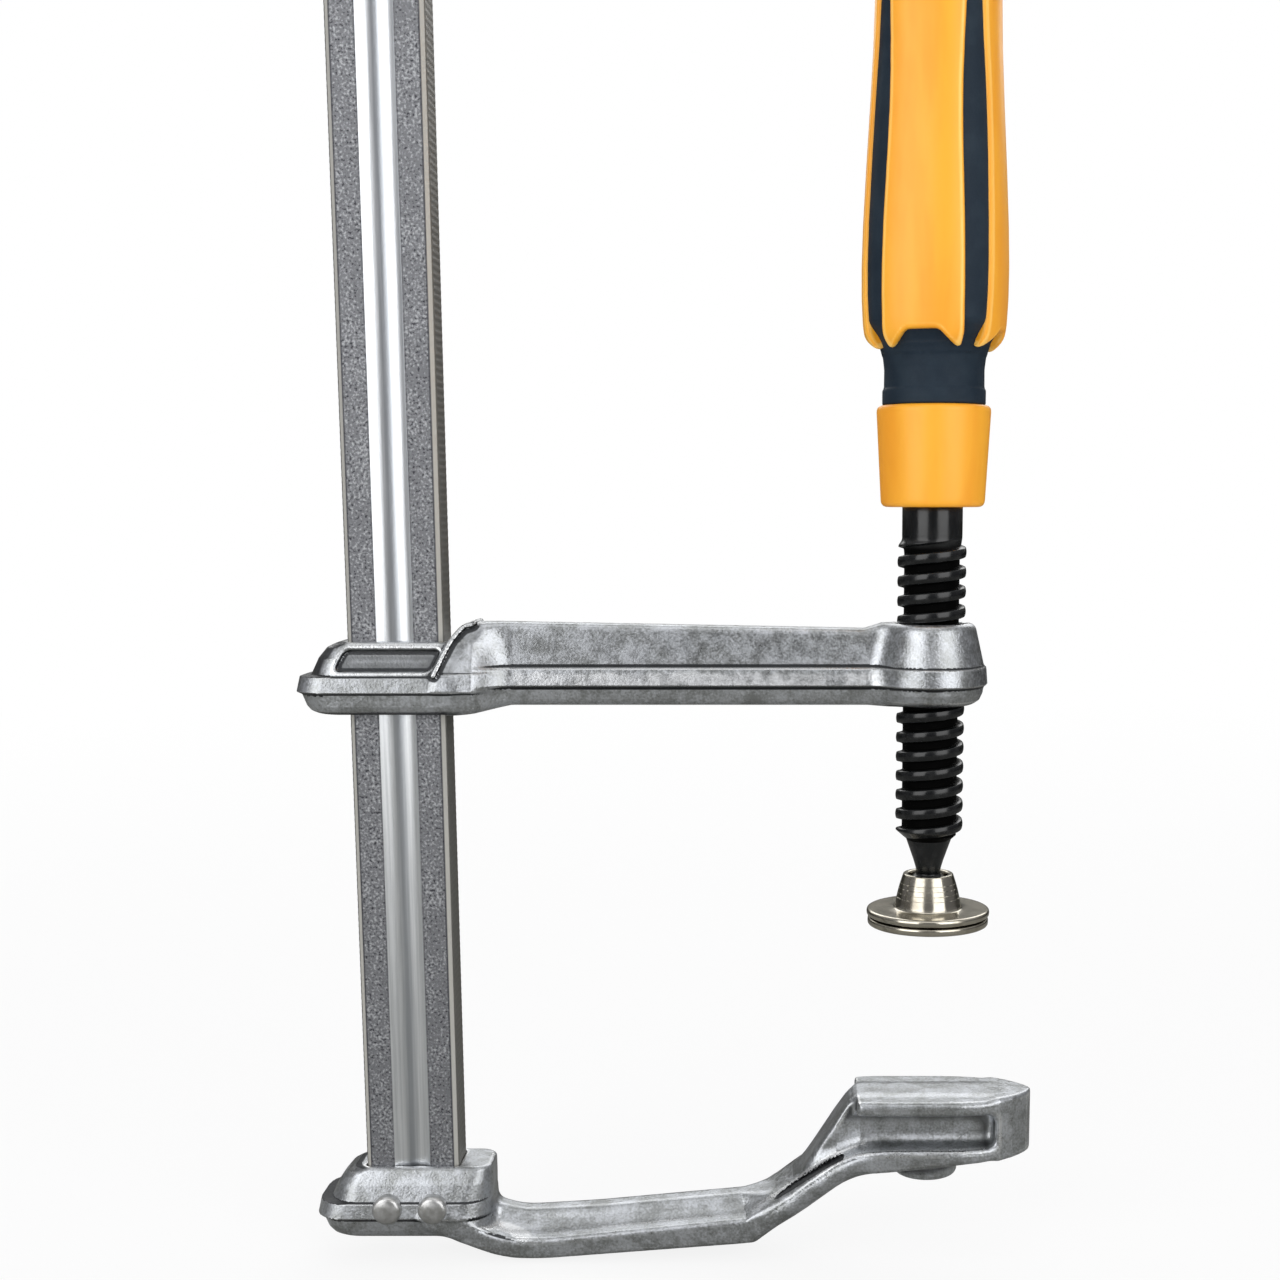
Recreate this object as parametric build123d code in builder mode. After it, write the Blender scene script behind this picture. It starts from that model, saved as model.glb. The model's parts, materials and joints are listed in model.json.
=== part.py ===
"""Sliding-arm welding clamp.

A flat grooved rail carries a fixed step-over arm at its foot and a sliding arm above it.
A screw with a moulded two-colour handle runs through the boss of the sliding arm and
presses a swivel pad towards the anvil of the fixed arm.

Frame, in millimetres: the origin is the centre of the anvil's contact face, on the axis
of the screw. +Z is up along the rail, X runs along the arms with the rail at -X, and Y is
the thickness of the clamp.
"""
import os

from build123d import *

# Clearances
RUNNING_FIT = 0.08
SEAT_GAP = 0.1
PRESS_GAP = 0.05
SLIDE_GAP = 0.12

# Rail
RAIL_WIDTH = 22.4
RAIL_THICKNESS = 11.0
RAIL_TOP = 303.0
RAIL_CHAMFER = 1.2
RAIL_END_CHAMFER = 0.6
GROOVE_WIDTH = 8.6
GROOVE_DEPTH = 1.4
THROAT = 113.1

# Forged head that wraps the rail; heights are above the underside of its arm
HEAD_OVERHANG = 12.2
HEAD_RIGHT = 7.8
HEAD_HALF_WIDTH = 11.0
HEAD_FOOT = -1.4
HEAD_BELT_LOW = 4.0
HEAD_BELT_HIGH = 7.5
HEAD_STEP = 9.2
HEAD_TOP = 15.2
HEAD_CORNER = 6.0
FOOT_DRAFT = 1.6
FOOT_END_DRAFT = 2.6
BELT_END_DRAFT = 0.4
STEP_IN = 0.6
STEP_END_IN = 3.6
COLLAR_WALL = 1.5
COLLAR_END_WALL = 1.5
POCKET_DEPTH = 0.8
POCKET_MARGIN = 1.2
POCKET_CORNER = 1.6
POCKET_SHIFT = -2.2
POCKET_SHORTER = 0.4

# Sliding arm; heights are above its underside
SLIDING_ARM_Z = 93.9
ARM_TOP_AT_HEAD = 19.6
ARM_TOP_AT_BOSS = 18.0
ARM_FOOT = 0.5
ARM_PARTING = 4.8
ARM_BELT_TOP = 9.5
ARM_BELT_HALF = 6.3
ARM_BELT_DRAFT = 0.3
ARM_BELT_SLOPE = 0.8
ARM_FILLET_RISE = 0.6
ARM_FOOT_HALF = 4.6
ARM_WEB_FOOT_HALF = 4.2
ARM_WEB_TOP_HALF = 3.0
NECK_LENGTH = 10.0
NECK_OVERLAP = 5.0
NECK_BELT_HALF = 10.4
NECK_FOOT_HALF = 8.6
NECK_WEB_HALF = 8.8
MID_NECK = 0.45
MID_NECK_BELT_HALF = 7.6
MID_NECK_FOOT_HALF = 5.9
MID_NECK_WEB_HALF = 5.6
SHOULDER_GAP = 0.6
SHOULDER_RUN = 6.0
SHOULDER_HALF = 3.6
BOSS_TOP_RADIUS = 10.3
BOSS_BELT_RADIUS = 13.3
BOSS_FOOT_RADIUS = 12.3
BOSS_TOP = 19.4
BOSS_FOOT_ROUND = 3.2
BOSS_TOP_EDGE = 0.5
BEAM_IN_BOSS = 2.0

# Fixed arm: the flange follows a centre line from the nose to the heel
FIXED_HEAD_Z = -33.0
FLANGE_HEIGHT = 4.8
ANVIL_FLANGE_Z = -14.1
ANVIL_LEDGE_Z = -12.1
ANVIL_LEFT = -18.0
ANVIL_NOSE = 25.4
ANVIL_HALF_WIDTH = 11.0
NOSE_START = 5.0
NOSE_MIDDLE = 17.2
NOSE_MIDDLE_HALF = 8.7
STEP_X = -18.0
STEP_ROUND = 7.0
RAMP_FOOT_X = -42.5
RAMP_FOOT_Z = -33.6
HEEL_X = -101.5
HEEL_Z = -38.2
HEEL_END_X = -119.0
HEEL_END_Z = -29.3
HEEL_ROUND = 24.0
BOW_HALF_WIDTH = 9.6
BOW_WIDENS = 10.0
WEB_HALF_WIDTH = 4.2
WEB_RISE = 8.3
WEB_KNEE_X = -30.5
WEB_KNEE_Z = -19.3
WEB_ROUND = 3.0
TROUGH_END = 16.2
TROUGH_TOP = -3.6
TROUGH_ROUND = 2.4
TAIL_RADIUS = 7.75
TAIL_BOTTOM = -20.8
TAIL_EDGE = 0.8

# Rivets through the fixed head, and the stop pin at the top of the rail
RIVET_RADIUS = 2.5
RIVET_SPACING = 11.0
RIVET_HEIGHT = 6.2
RIVET_HEAD_RADIUS = 3.6
RIVET_HEAD_HEIGHT = 1.2
RIVET_HEAD_EDGE = 0.7
STOP_PIN_RADIUS = 2.5
STOP_PIN_LENGTH = 17.0
STOP_PIN_BELOW_TOP = 6.5
STOP_PIN_EDGE = 0.5

# Swivel pad; heights are above its face
PAD_Z = 41.3
PAD_RADIUS = 14.65
PAD_BASE_INSET = 0.25
PAD_BASE_HEIGHT = 1.8
PAD_EDGE = 0.5
PAD_GROOVE = 0.35
PAD_GROOVE_DEPTH = 1.7
PAD_FLANGE_TOP = 3.9
CUP_FOOT_RADIUS = 8.0
CUP_FOOT_ROUND = 1.0
CUP_TOP_RADIUS = 5.9
CUP_TOP = 12.3
CUP_TOP_EDGE = 0.4
CUP_MOUTH_RADIUS = 4.7
BALL_CENTRE = 8.0
BALL_RADIUS = 5.2
BALL_END_DROP = 2.4
SEAT_THICKNESS = 0.8
SEAT_RIM_DROP = 1.5
SEAT_FLOOR_DROP = 4.2
CUP_STEP = 0.4
CUP_LIP_RISE = 2.45
CUP_LIP_GAP = 0.25

# Screw; heights are above the centre of its ball
NECK_RADIUS = 2.9
NECK_ROUND = 0.2
NECK_TOP_RADIUS = 5.25
NECK_HEIGHT = 12.7
THREAD_RADIUS = 8.0
THREAD_LENGTH = 69.3
THREAD_ENTRY = 1.6
THREAD_RUN_OUT = 1.0
SHANK_RADIUS = 7.0
SHANK_EXPOSED = 8.7
TANG_RADIUS = 5.5
TANG_FLAT = 4.3
TANG_FLAT_START = 2.0
TANG_BELOW_TOP = 13.0
TANG_EDGE = 1.0

# Handle; heights above its collar, and above the foot of its lobes
COLLAR_HEIGHT = 23.0
COLLAR_BOTTOM_RADIUS = 11.95
COLLAR_TOP_RADIUS = 13.2
COLLAR_EDGE = 1.3
GRIP_NECK_HEIGHT = 12.1
GRIP_NECK_RADIUS = 11.4
GRIP_NECK_STRAIGHT = 8.6
GRIP_NECK_WALL = 2.0
LOBE_FOOT_RADIUS = 12.1
LOBE_FOOT_BEND_RADIUS = 13.0
LOBE_FOOT_BEND = 2.2
LOBE_CONE_RADIUS = 16.4
LOBE_CONE_HEIGHT = 5.8
LOBE_RADIUS = 16.75
LOBE_WIDEST = 18.5
LOBE_MIDDLE_RADIUS = 15.9
LOBE_MIDDLE = 39.5
LOBE_WAIST_RADIUS = 14.2
LOBE_WAIST_BELOW_TOP = 22.4
LOBE_END_RADIUS = 14.5
LOBE_END_BELOW_TOP = 10.4
LOBE_HEIGHT = 99.9
DOME_RADIUS = 6.0
LOBES = 4
LOBE_TURN = -14.5
STRIPE_LOW_DEGREES = 22.0
STRIPE_HIGH_DEGREES = 13.0
STRIPE_DEPTH = 2.4
STRIPE_RECESS = 0.9
FLOOR_FOOT_RADIUS = 10.2
FLOOR_RADIUS = 12.2
FLOOR_SHOULDER = 9.0
STRIPE_INNER_RADIUS = 5.0
NOTCH_WIDTH = 13.2
NOTCH_TOP_WIDTH = 7.3
NOTCH_HEIGHT = 3.8

rail_x = -(THROAT + RAIL_WIDTH / 2)
rail_right = -THROAT
rail_bottom = FIXED_HEAD_Z + HEAD_FOOT
stop_pin_z = RAIL_TOP - STOP_PIN_BELOW_TOP
rivet_z = FIXED_HEAD_Z + RIVET_HEIGHT
ball_z = PAD_Z + BALL_CENTRE
thread_low = ball_z + NECK_HEIGHT
thread_high = thread_low + THREAD_LENGTH
collar_bottom = thread_high + SHANK_EXPOSED
collar_top = collar_bottom + COLLAR_HEIGHT
lobe_bottom = collar_top + GRIP_NECK_HEIGHT
handle_top = lobe_bottom + LOBE_HEIGHT
tang_top = handle_top - TANG_BELOW_TOP


def head_outline(height, draw_in, end_draw_in):
    """Sketch a horizontal section of a head: a rounded rectangle round the rail."""
    left = rail_x - RAIL_WIDTH / 2 - HEAD_OVERHANG + end_draw_in
    right = rail_right + HEAD_RIGHT
    half_width = HEAD_HALF_WIDTH - draw_in
    with BuildSketch(Plane.XY.offset(height)) as outline:
        with Locations(((left + right) / 2, 0)):
            RectangleRounded(right - left, 2 * half_width, min(HEAD_CORNER, half_width - 1))
    return outline.sketch


def forged_head(base):
    """Make the solid head that wraps the rail, from its foot to its collar."""
    collar_in = HEAD_HALF_WIDTH - RAIL_THICKNESS / 2 - COLLAR_WALL
    foot = head_outline(base + HEAD_FOOT, FOOT_DRAFT, FOOT_END_DRAFT)
    belt_low = head_outline(base + HEAD_BELT_LOW, 0, 0)
    belt_high = head_outline(base + HEAD_BELT_HIGH, 0, BELT_END_DRAFT)
    step = head_outline(base + HEAD_STEP, STEP_IN, STEP_END_IN)
    collar = head_outline(base + HEAD_TOP, collar_in, HEAD_OVERHANG - COLLAR_END_WALL)
    with BuildPart() as head:
        loft(sections=[foot, belt_low])
        loft(sections=[belt_low, belt_high])
        loft(sections=[belt_high, step])
        loft(sections=[step, collar])
    return head.part


def arm_section(x, foot_half, belt_half, web_foot_half, web_top_half, top):
    """Sketch one upright section of the sliding arm, shaped like an upturned T."""
    half = [
        (foot_half, ARM_FOOT),
        (belt_half - ARM_BELT_DRAFT, ARM_PARTING),
        (belt_half, (ARM_PARTING + ARM_BELT_TOP) / 2),
        (belt_half - ARM_BELT_SLOPE, ARM_BELT_TOP),
        (web_foot_half, ARM_BELT_TOP + ARM_FILLET_RISE),
        (web_top_half, top),
    ]
    outline = half + [(-y, z) for y, z in reversed(half)]
    plane = Plane(origin=(x, 0, SLIDING_ARM_Z), x_dir=(0, 1, 0), z_dir=(1, 0, 0))
    with BuildSketch(plane) as section:
        with BuildLine():
            Polyline(*outline, close=True)
        make_face()
    return section.sketch


def export(builder, label):
    """Name a finished piece and write its STEP file."""
    builder.part.label = label
    export_step(builder.part, f"parts/{label}.step")


os.makedirs("parts", exist_ok=True)

# Rail: flat bar with chamfered corners and a shallow round groove along both wide faces
groove_radius = (GROOVE_WIDTH**2 / 4 + GROOVE_DEPTH**2) / (2 * GROOVE_DEPTH)
groove_y = RAIL_THICKNESS / 2 - GROOVE_DEPTH + groove_radius
with BuildPart() as rail:
    with BuildSketch(Plane.XY.offset(rail_bottom)):
        with Locations((rail_x, 0)):
            bar = Rectangle(RAIL_WIDTH, RAIL_THICKNESS)
        chamfer(bar.vertices(), RAIL_CHAMFER)
        with Locations((rail_x, groove_y), (rail_x, -groove_y)):
            Circle(groove_radius, mode=Mode.SUBTRACT)
    extrude(amount=RAIL_TOP - rail_bottom)
    chamfer(rail.faces().sort_by(Axis.Z)[-1].edges(), RAIL_END_CHAMFER)
    with BuildSketch(Plane.XZ):
        with Locations((rail_x, stop_pin_z)):
            Circle(STOP_PIN_RADIUS + PRESS_GAP)
        with Locations((rail_x, rivet_z)):
            with GridLocations(RIVET_SPACING, 0, 2, 1):
                Circle(RIVET_RADIUS + PRESS_GAP)
    extrude(amount=RAIL_THICKNESS, both=True, mode=Mode.SUBTRACT)
export(rail, "rail")

# Stop pin: keeps the sliding arm on the rail
with BuildPart() as rail_stop_pin:
    with BuildSketch(Plane.XZ):
        with Locations((rail_x, stop_pin_z)):
            Circle(STOP_PIN_RADIUS)
    extrude(amount=STOP_PIN_LENGTH / 2, both=True)
    chamfer(rail_stop_pin.edges().filter_by(GeomType.CIRCLE), STOP_PIN_EDGE)
export(rail_stop_pin, "rail_stop_pin")

# Sliding arm: head, necking sweep, beam of upturned-T section and round screw boss
sliding_head = forged_head(SLIDING_ARM_Z)
neck_start = rail_right + HEAD_RIGHT - NECK_OVERLAP
neck_end = neck_start + NECK_LENGTH
beam_end = -BOSS_TOP_RADIUS + BEAM_IN_BOSS
neck_root = arm_section(
    neck_start, NECK_FOOT_HALF, NECK_BELT_HALF, NECK_WEB_HALF, ARM_WEB_TOP_HALF, ARM_TOP_AT_HEAD
)
neck_middle = arm_section(
    neck_start + MID_NECK * NECK_LENGTH, MID_NECK_FOOT_HALF, MID_NECK_BELT_HALF,
    MID_NECK_WEB_HALF, ARM_WEB_TOP_HALF, ARM_TOP_AT_HEAD,
)
beam_left = arm_section(
    neck_end, ARM_FOOT_HALF, ARM_BELT_HALF, ARM_WEB_FOOT_HALF, ARM_WEB_TOP_HALF, ARM_TOP_AT_HEAD
)
beam_right = arm_section(
    beam_end, ARM_FOOT_HALF, ARM_BELT_HALF, ARM_WEB_FOOT_HALF, ARM_WEB_TOP_HALF, ARM_TOP_AT_BOSS
)
with BuildPart() as sliding_arm:
    add(sliding_head)
    loft(sections=[neck_root, neck_middle, beam_left])
    loft(sections=[beam_left, beam_right])
    # The shoulder steps from the collar up to the top of the beam.
    with BuildSketch(Plane.XZ):
        with BuildLine():
            shoulder_foot = rail_right + SHOULDER_GAP
            Polyline(
                (shoulder_foot, SLIDING_ARM_Z + HEAD_BELT_LOW),
                (shoulder_foot, SLIDING_ARM_Z + HEAD_TOP),
                (shoulder_foot + SHOULDER_RUN, SLIDING_ARM_Z + ARM_TOP_AT_HEAD),
                (neck_end, SLIDING_ARM_Z + ARM_TOP_AT_HEAD),
                (neck_end, SLIDING_ARM_Z + HEAD_BELT_LOW),
                close=True,
            )
        make_face()
    extrude(amount=SHOULDER_HALF, both=True)
    with BuildSketch(Plane.XZ):
        with BuildLine():
            Line((0, SLIDING_ARM_Z), (BOSS_FOOT_RADIUS - BOSS_FOOT_ROUND, SLIDING_ARM_Z))
            JernArc(
                (BOSS_FOOT_RADIUS - BOSS_FOOT_ROUND, SLIDING_ARM_Z), (1, 0), BOSS_FOOT_ROUND, 90
            )
            Polyline(
                (BOSS_FOOT_RADIUS, SLIDING_ARM_Z + BOSS_FOOT_ROUND),
                (BOSS_FOOT_RADIUS, SLIDING_ARM_Z + ARM_PARTING),
                (BOSS_BELT_RADIUS, SLIDING_ARM_Z + ARM_PARTING),
                (BOSS_BELT_RADIUS, SLIDING_ARM_Z + ARM_BELT_TOP),
                (BOSS_TOP_RADIUS, SLIDING_ARM_Z + BOSS_TOP - BOSS_TOP_EDGE),
                (BOSS_TOP_RADIUS - BOSS_TOP_EDGE, SLIDING_ARM_Z + BOSS_TOP),
                (0, SLIDING_ARM_Z + BOSS_TOP),
                (0, SLIDING_ARM_Z),
            )
        make_face()
    revolve(axis=Axis.Z)
    # Shallow forged pockets in the two sloped faces of the head
    for side in (-1, 1):
        low = Vector(0, side * (HEAD_HALF_WIDTH - STEP_IN), SLIDING_ARM_Z + HEAD_STEP)
        high = Vector(0, side * (RAIL_THICKNESS / 2 + COLLAR_WALL), SLIDING_ARM_Z + HEAD_TOP)
        up_slope = high - low
        middle = (low + high) * 0.5 + Vector(rail_x + POCKET_SHIFT, 0, 0)
        outward = Vector(side, 0, 0).cross(up_slope).normalized()
        with BuildSketch(Plane(origin=middle, x_dir=(side, 0, 0), z_dir=outward)):
            RectangleRounded(
                RAIL_WIDTH - POCKET_SHORTER, up_slope.length - 2 * POCKET_MARGIN, POCKET_CORNER
            )
        extrude(amount=-POCKET_DEPTH, mode=Mode.SUBTRACT)
    with BuildSketch(Plane.XY.offset(SLIDING_ARM_Z + HEAD_FOOT)):
        with Locations((rail_x, 0)):
            Rectangle(RAIL_WIDTH + 2 * SLIDE_GAP, RAIL_THICKNESS + 2 * SLIDE_GAP)
    extrude(amount=ARM_TOP_AT_HEAD - HEAD_FOOT, mode=Mode.SUBTRACT)
    with BuildSketch(Plane.XY.offset(SLIDING_ARM_Z)):
        Circle(THREAD_RADIUS + RUNNING_FIT)
    extrude(amount=BOSS_TOP, mode=Mode.SUBTRACT)
export(sliding_arm, "sliding_arm")

# Fixed arm: a flange along its centre line, a web on it, and the anvil over the step
fixed_head = forged_head(FIXED_HEAD_Z)
web_left = HEEL_END_X + WEB_ROUND
trough_start = ANVIL_LEFT - FLANGE_HEIGHT
with BuildPart() as fixed_arm:
    with BuildSketch(Plane.XZ):
        with BuildLine():
            FilletPolyline(
                (ANVIL_NOSE, ANVIL_FLANGE_Z),
                (STEP_X, ANVIL_FLANGE_Z),
                (RAMP_FOOT_X, RAMP_FOOT_Z),
                radius=STEP_ROUND,
            )
            FilletPolyline(
                (RAMP_FOOT_X, RAMP_FOOT_Z),
                (HEEL_X, HEEL_Z),
                (HEEL_END_X, HEEL_END_Z),
                radius=HEEL_ROUND,
            )
        trace(line_width=FLANGE_HEIGHT)
    extrude(amount=ANVIL_HALF_WIDTH, both=True)
    # The web stands on the flange and rises over the step to the anvil.
    with BuildSketch(Plane.XZ):
        with BuildLine():
            Polyline(
                (web_left, FIXED_HEAD_Z + HEAD_STEP),
                (HEEL_X, HEEL_Z + WEB_RISE),
                (RAMP_FOOT_X, RAMP_FOOT_Z + WEB_RISE),
                (WEB_KNEE_X, WEB_KNEE_Z),
                (ANVIL_LEFT, 0),
                (ANVIL_NOSE - TROUGH_ROUND, 0),
                (ANVIL_NOSE - TROUGH_ROUND, ANVIL_FLANGE_Z),
                (STEP_X, ANVIL_FLANGE_Z),
                (RAMP_FOOT_X, RAMP_FOOT_Z),
                (HEEL_X, HEEL_Z),
                (web_left, HEEL_END_Z),
                close=True,
            )
        web_face = make_face()
        fillet(web_face.vertices().filter_by_position(Axis.X, HEEL_X, ANVIL_LEFT), WEB_ROUND)
    extrude(amount=WEB_HALF_WIDTH, both=True)
    # The anvil block, with a trough along each side that the nose closes
    with BuildSketch(Plane.XZ):
        with Locations(((ANVIL_LEFT + ANVIL_NOSE) / 2, ANVIL_FLANGE_Z / 2)):
            Rectangle(ANVIL_NOSE - ANVIL_LEFT, -ANVIL_FLANGE_Z)
    extrude(amount=ANVIL_HALF_WIDTH, both=True)
    for side in (-1, 1):
        with BuildSketch(Plane.XZ.offset(-side * WEB_HALF_WIDTH)):
            with Locations(((trough_start + TROUGH_END) / 2, (ANVIL_LEDGE_Z + TROUGH_TOP) / 2)):
                RectangleRounded(
                    TROUGH_END - trough_start, TROUGH_TOP - ANVIL_LEDGE_Z, TROUGH_ROUND
                )
        extrude(amount=-side * ANVIL_HALF_WIDTH, mode=Mode.SUBTRACT)
    # Plan of the arm: narrow along the bow, full width at the anvil, round at the nose
    with BuildSketch(Plane.XY.offset(HEEL_Z - FLANGE_HEIGHT)):
        with BuildLine():
            edge = Polyline(
                (HEEL_END_X, ANVIL_HALF_WIDTH),
                (HEEL_X, BOW_HALF_WIDTH),
                (RAMP_FOOT_X, BOW_HALF_WIDTH),
                (RAMP_FOOT_X + BOW_WIDENS, ANVIL_HALF_WIDTH),
                (NOSE_START, ANVIL_HALF_WIDTH),
            )
            mirror(edge, about=Plane.XZ)
            Spline(
                (NOSE_START, ANVIL_HALF_WIDTH),
                (NOSE_MIDDLE, NOSE_MIDDLE_HALF),
                (ANVIL_NOSE, 0),
                (NOSE_MIDDLE, -NOSE_MIDDLE_HALF),
                (NOSE_START, -ANVIL_HALF_WIDTH),
                tangents=[(1, 0), (-1, 0)],
            )
            Line((HEEL_END_X, ANVIL_HALF_WIDTH), (HEEL_END_X, -ANVIL_HALF_WIDTH))
        make_face()
    extrude(amount=FLANGE_HEIGHT - HEEL_Z, mode=Mode.INTERSECT)
    add(fixed_head)
    with BuildSketch(Plane.XZ):
        with BuildLine():
            Polyline(
                (0, TAIL_BOTTOM),
                (TAIL_RADIUS - TAIL_EDGE, TAIL_BOTTOM),
                (TAIL_RADIUS, TAIL_BOTTOM + TAIL_EDGE),
                (TAIL_RADIUS, ANVIL_FLANGE_Z),
                (0, ANVIL_FLANGE_Z),
                close=True,
            )
        make_face()
    revolve(axis=Axis.Z)
    with BuildSketch(Plane.XY.offset(rail_bottom)):
        with Locations((rail_x, 0)):
            Rectangle(RAIL_WIDTH + 2 * PRESS_GAP, RAIL_THICKNESS + 2 * PRESS_GAP)
    extrude(amount=HEAD_TOP - HEAD_FOOT, mode=Mode.SUBTRACT)
    with BuildSketch(Plane.XZ):
        with Locations((rail_x, rivet_z)):
            with GridLocations(RIVET_SPACING, 0, 2, 1):
                Circle(RIVET_RADIUS + PRESS_GAP)
    extrude(amount=2 * HEAD_HALF_WIDTH, both=True, mode=Mode.SUBTRACT)
export(fixed_arm, "fixed_arm")

# Two rivets lock the rail in the fixed head
for name, direction in (("fixed_arm_rivet_left", -1), ("fixed_arm_rivet_right", 1)):
    rivet_x = rail_x + direction * RIVET_SPACING / 2
    shank_half = HEAD_HALF_WIDTH
    head_face = HEAD_HALF_WIDTH + RIVET_HEAD_HEIGHT
    axis = Axis((rivet_x, 0, rivet_z), (0, 1, 0))
    with BuildPart() as rivet:
        with BuildSketch(Plane.XY.offset(rivet_z)):
            with BuildLine():
                half = Polyline(
                    (rivet_x, head_face),
                    (rivet_x + RIVET_HEAD_RADIUS - RIVET_HEAD_EDGE, head_face),
                    (rivet_x + RIVET_HEAD_RADIUS, shank_half),
                    (rivet_x + RIVET_RADIUS, shank_half),
                    (rivet_x + RIVET_RADIUS, 0),
                )
                mirror(half, about=Plane.XZ)
                Line((rivet_x, -head_face), (rivet_x, head_face))
            make_face()
        revolve(axis=axis)
    export(rivet, name)

# Spindle: ball end, neck, threaded length, shank and the tang inside the handle
ball_top = ball_z + (BALL_RADIUS**2 - NECK_RADIUS**2) ** 0.5
ball_end_z = ball_z - BALL_END_DROP
ball_end_radius = (BALL_RADIUS**2 - BALL_END_DROP**2) ** 0.5
with BuildPart() as spindle:
    with BuildSketch(Plane.XZ):
        with BuildLine():
            Line((0, ball_end_z), (ball_end_radius, ball_end_z))
            ThreePointArc(
                (ball_end_radius, ball_end_z), (BALL_RADIUS, ball_z), (NECK_RADIUS, ball_top)
            )
            Polyline(
                (NECK_RADIUS, ball_top),
                (NECK_RADIUS + NECK_ROUND, ball_top + 2 * NECK_ROUND),
                (NECK_TOP_RADIUS, thread_low),
                (THREAD_RADIUS - THREAD_ENTRY, thread_low),
                (THREAD_RADIUS, thread_low + THREAD_ENTRY),
                (THREAD_RADIUS, thread_high - THREAD_RUN_OUT),
                (SHANK_RADIUS, thread_high),
                (SHANK_RADIUS, collar_top),
                (TANG_RADIUS, collar_top),
                (TANG_RADIUS, tang_top - TANG_EDGE),
                (TANG_RADIUS - TANG_EDGE, tang_top),
                (0, tang_top),
                (0, ball_end_z),
            )
        make_face()
    revolve(axis=Axis.Z)
    with BuildSketch(Plane.XY.offset(collar_top + TANG_FLAT_START)):
        with Locations((0, TANG_RADIUS + TANG_FLAT), (0, -TANG_RADIUS - TANG_FLAT)):
            Rectangle(4 * TANG_RADIUS, 2 * TANG_RADIUS)
    extrude(amount=tang_top - collar_top, mode=Mode.SUBTRACT)
export(spindle, "spindle")

# Thrust button: hardened cap under the ball end, flat above and spherical below
button_top = ball_end_z - PRESS_GAP
button_radius = (BALL_RADIUS**2 - (ball_z - button_top) ** 2) ** 0.5
with BuildPart() as thrust_button:
    with BuildSketch(Plane.XZ):
        with BuildLine():
            Line((0, button_top), (button_radius, button_top))
            RadiusArc((button_radius, button_top), (0, ball_z - BALL_RADIUS), BALL_RADIUS)
            Line((0, ball_z - BALL_RADIUS), (0, button_top))
        make_face()
    revolve(axis=Axis.Z)
export(thrust_button, "thrust_button")

# Ball seat: a thin spherical ring between the ball and the cup
seat_inner = BALL_RADIUS + SEAT_GAP
seat_outer = seat_inner + SEAT_THICKNESS
with BuildPart() as ball_seat:
    with Locations((0, 0, ball_z)):
        Sphere(seat_outer)
        Sphere(seat_inner, mode=Mode.SUBTRACT)
    split(bisect_by=Plane.XY.offset(ball_z - SEAT_RIM_DROP), keep=Keep.BOTTOM)
    split(bisect_by=Plane.XY.offset(ball_z - SEAT_FLOOR_DROP), keep=Keep.TOP)
export(ball_seat, "ball_seat")

# Pad cup: flange and crimped cone that holds the ball
cup_inner = seat_outer + SEAT_GAP
step_z = ball_z + CUP_STEP
lip_z = ball_z + CUP_LIP_RISE
base_top = PAD_Z + PAD_BASE_HEIGHT
groove_top = base_top + PAD_GROOVE
flange_z = PAD_Z + PAD_FLANGE_TOP
cup_z = PAD_Z + CUP_TOP
with BuildPart() as pad_cup:
    with BuildSketch(Plane.XZ):
        with BuildLine():
            Polyline(
                (cup_inner, base_top),
                (PAD_RADIUS - PAD_GROOVE_DEPTH, base_top),
                (PAD_RADIUS - PAD_GROOVE_DEPTH, groove_top),
                (PAD_RADIUS - PAD_EDGE, groove_top),
                (PAD_RADIUS, groove_top + PAD_EDGE),
                (PAD_RADIUS, flange_z - PAD_EDGE),
                (PAD_RADIUS - PAD_EDGE, flange_z),
                (CUP_FOOT_RADIUS + CUP_FOOT_ROUND, flange_z),
                (CUP_FOOT_RADIUS, flange_z + CUP_FOOT_ROUND),
                (CUP_TOP_RADIUS, cup_z - CUP_TOP_EDGE),
                (CUP_TOP_RADIUS - CUP_TOP_EDGE, cup_z),
                (CUP_MOUTH_RADIUS, cup_z),
                (CUP_MOUTH_RADIUS, lip_z),
                (BALL_RADIUS + CUP_LIP_GAP, step_z),
                (cup_inner, step_z),
                close=True,
            )
        make_face()
    revolve(axis=Axis.Z)
export(pad_cup, "pad_cup")

# Pad base: the flat disc that meets the work
with BuildPart() as pad_base:
    with BuildSketch(Plane.XY.offset(PAD_Z)):
        Circle(PAD_RADIUS - PAD_BASE_INSET)
    extrude(amount=PAD_BASE_HEIGHT)
    chamfer(pad_base.edges(), PAD_EDGE)
export(pad_base, "pad_base")

# Handle collar: the drafted ring at the foot of the handle
with BuildPart() as handle_collar:
    with BuildSketch(Plane.XZ):
        with BuildLine():
            Polyline(
                (SHANK_RADIUS + PRESS_GAP, collar_bottom),
                (COLLAR_BOTTOM_RADIUS - COLLAR_EDGE, collar_bottom),
                (COLLAR_BOTTOM_RADIUS, collar_bottom + COLLAR_EDGE),
                (COLLAR_TOP_RADIUS, collar_top - COLLAR_EDGE),
                (COLLAR_TOP_RADIUS - COLLAR_EDGE, collar_top),
                (SHANK_RADIUS + PRESS_GAP, collar_top),
                close=True,
            )
        make_face()
    revolve(axis=Axis.Z)
export(handle_collar, "handle_collar")


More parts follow.
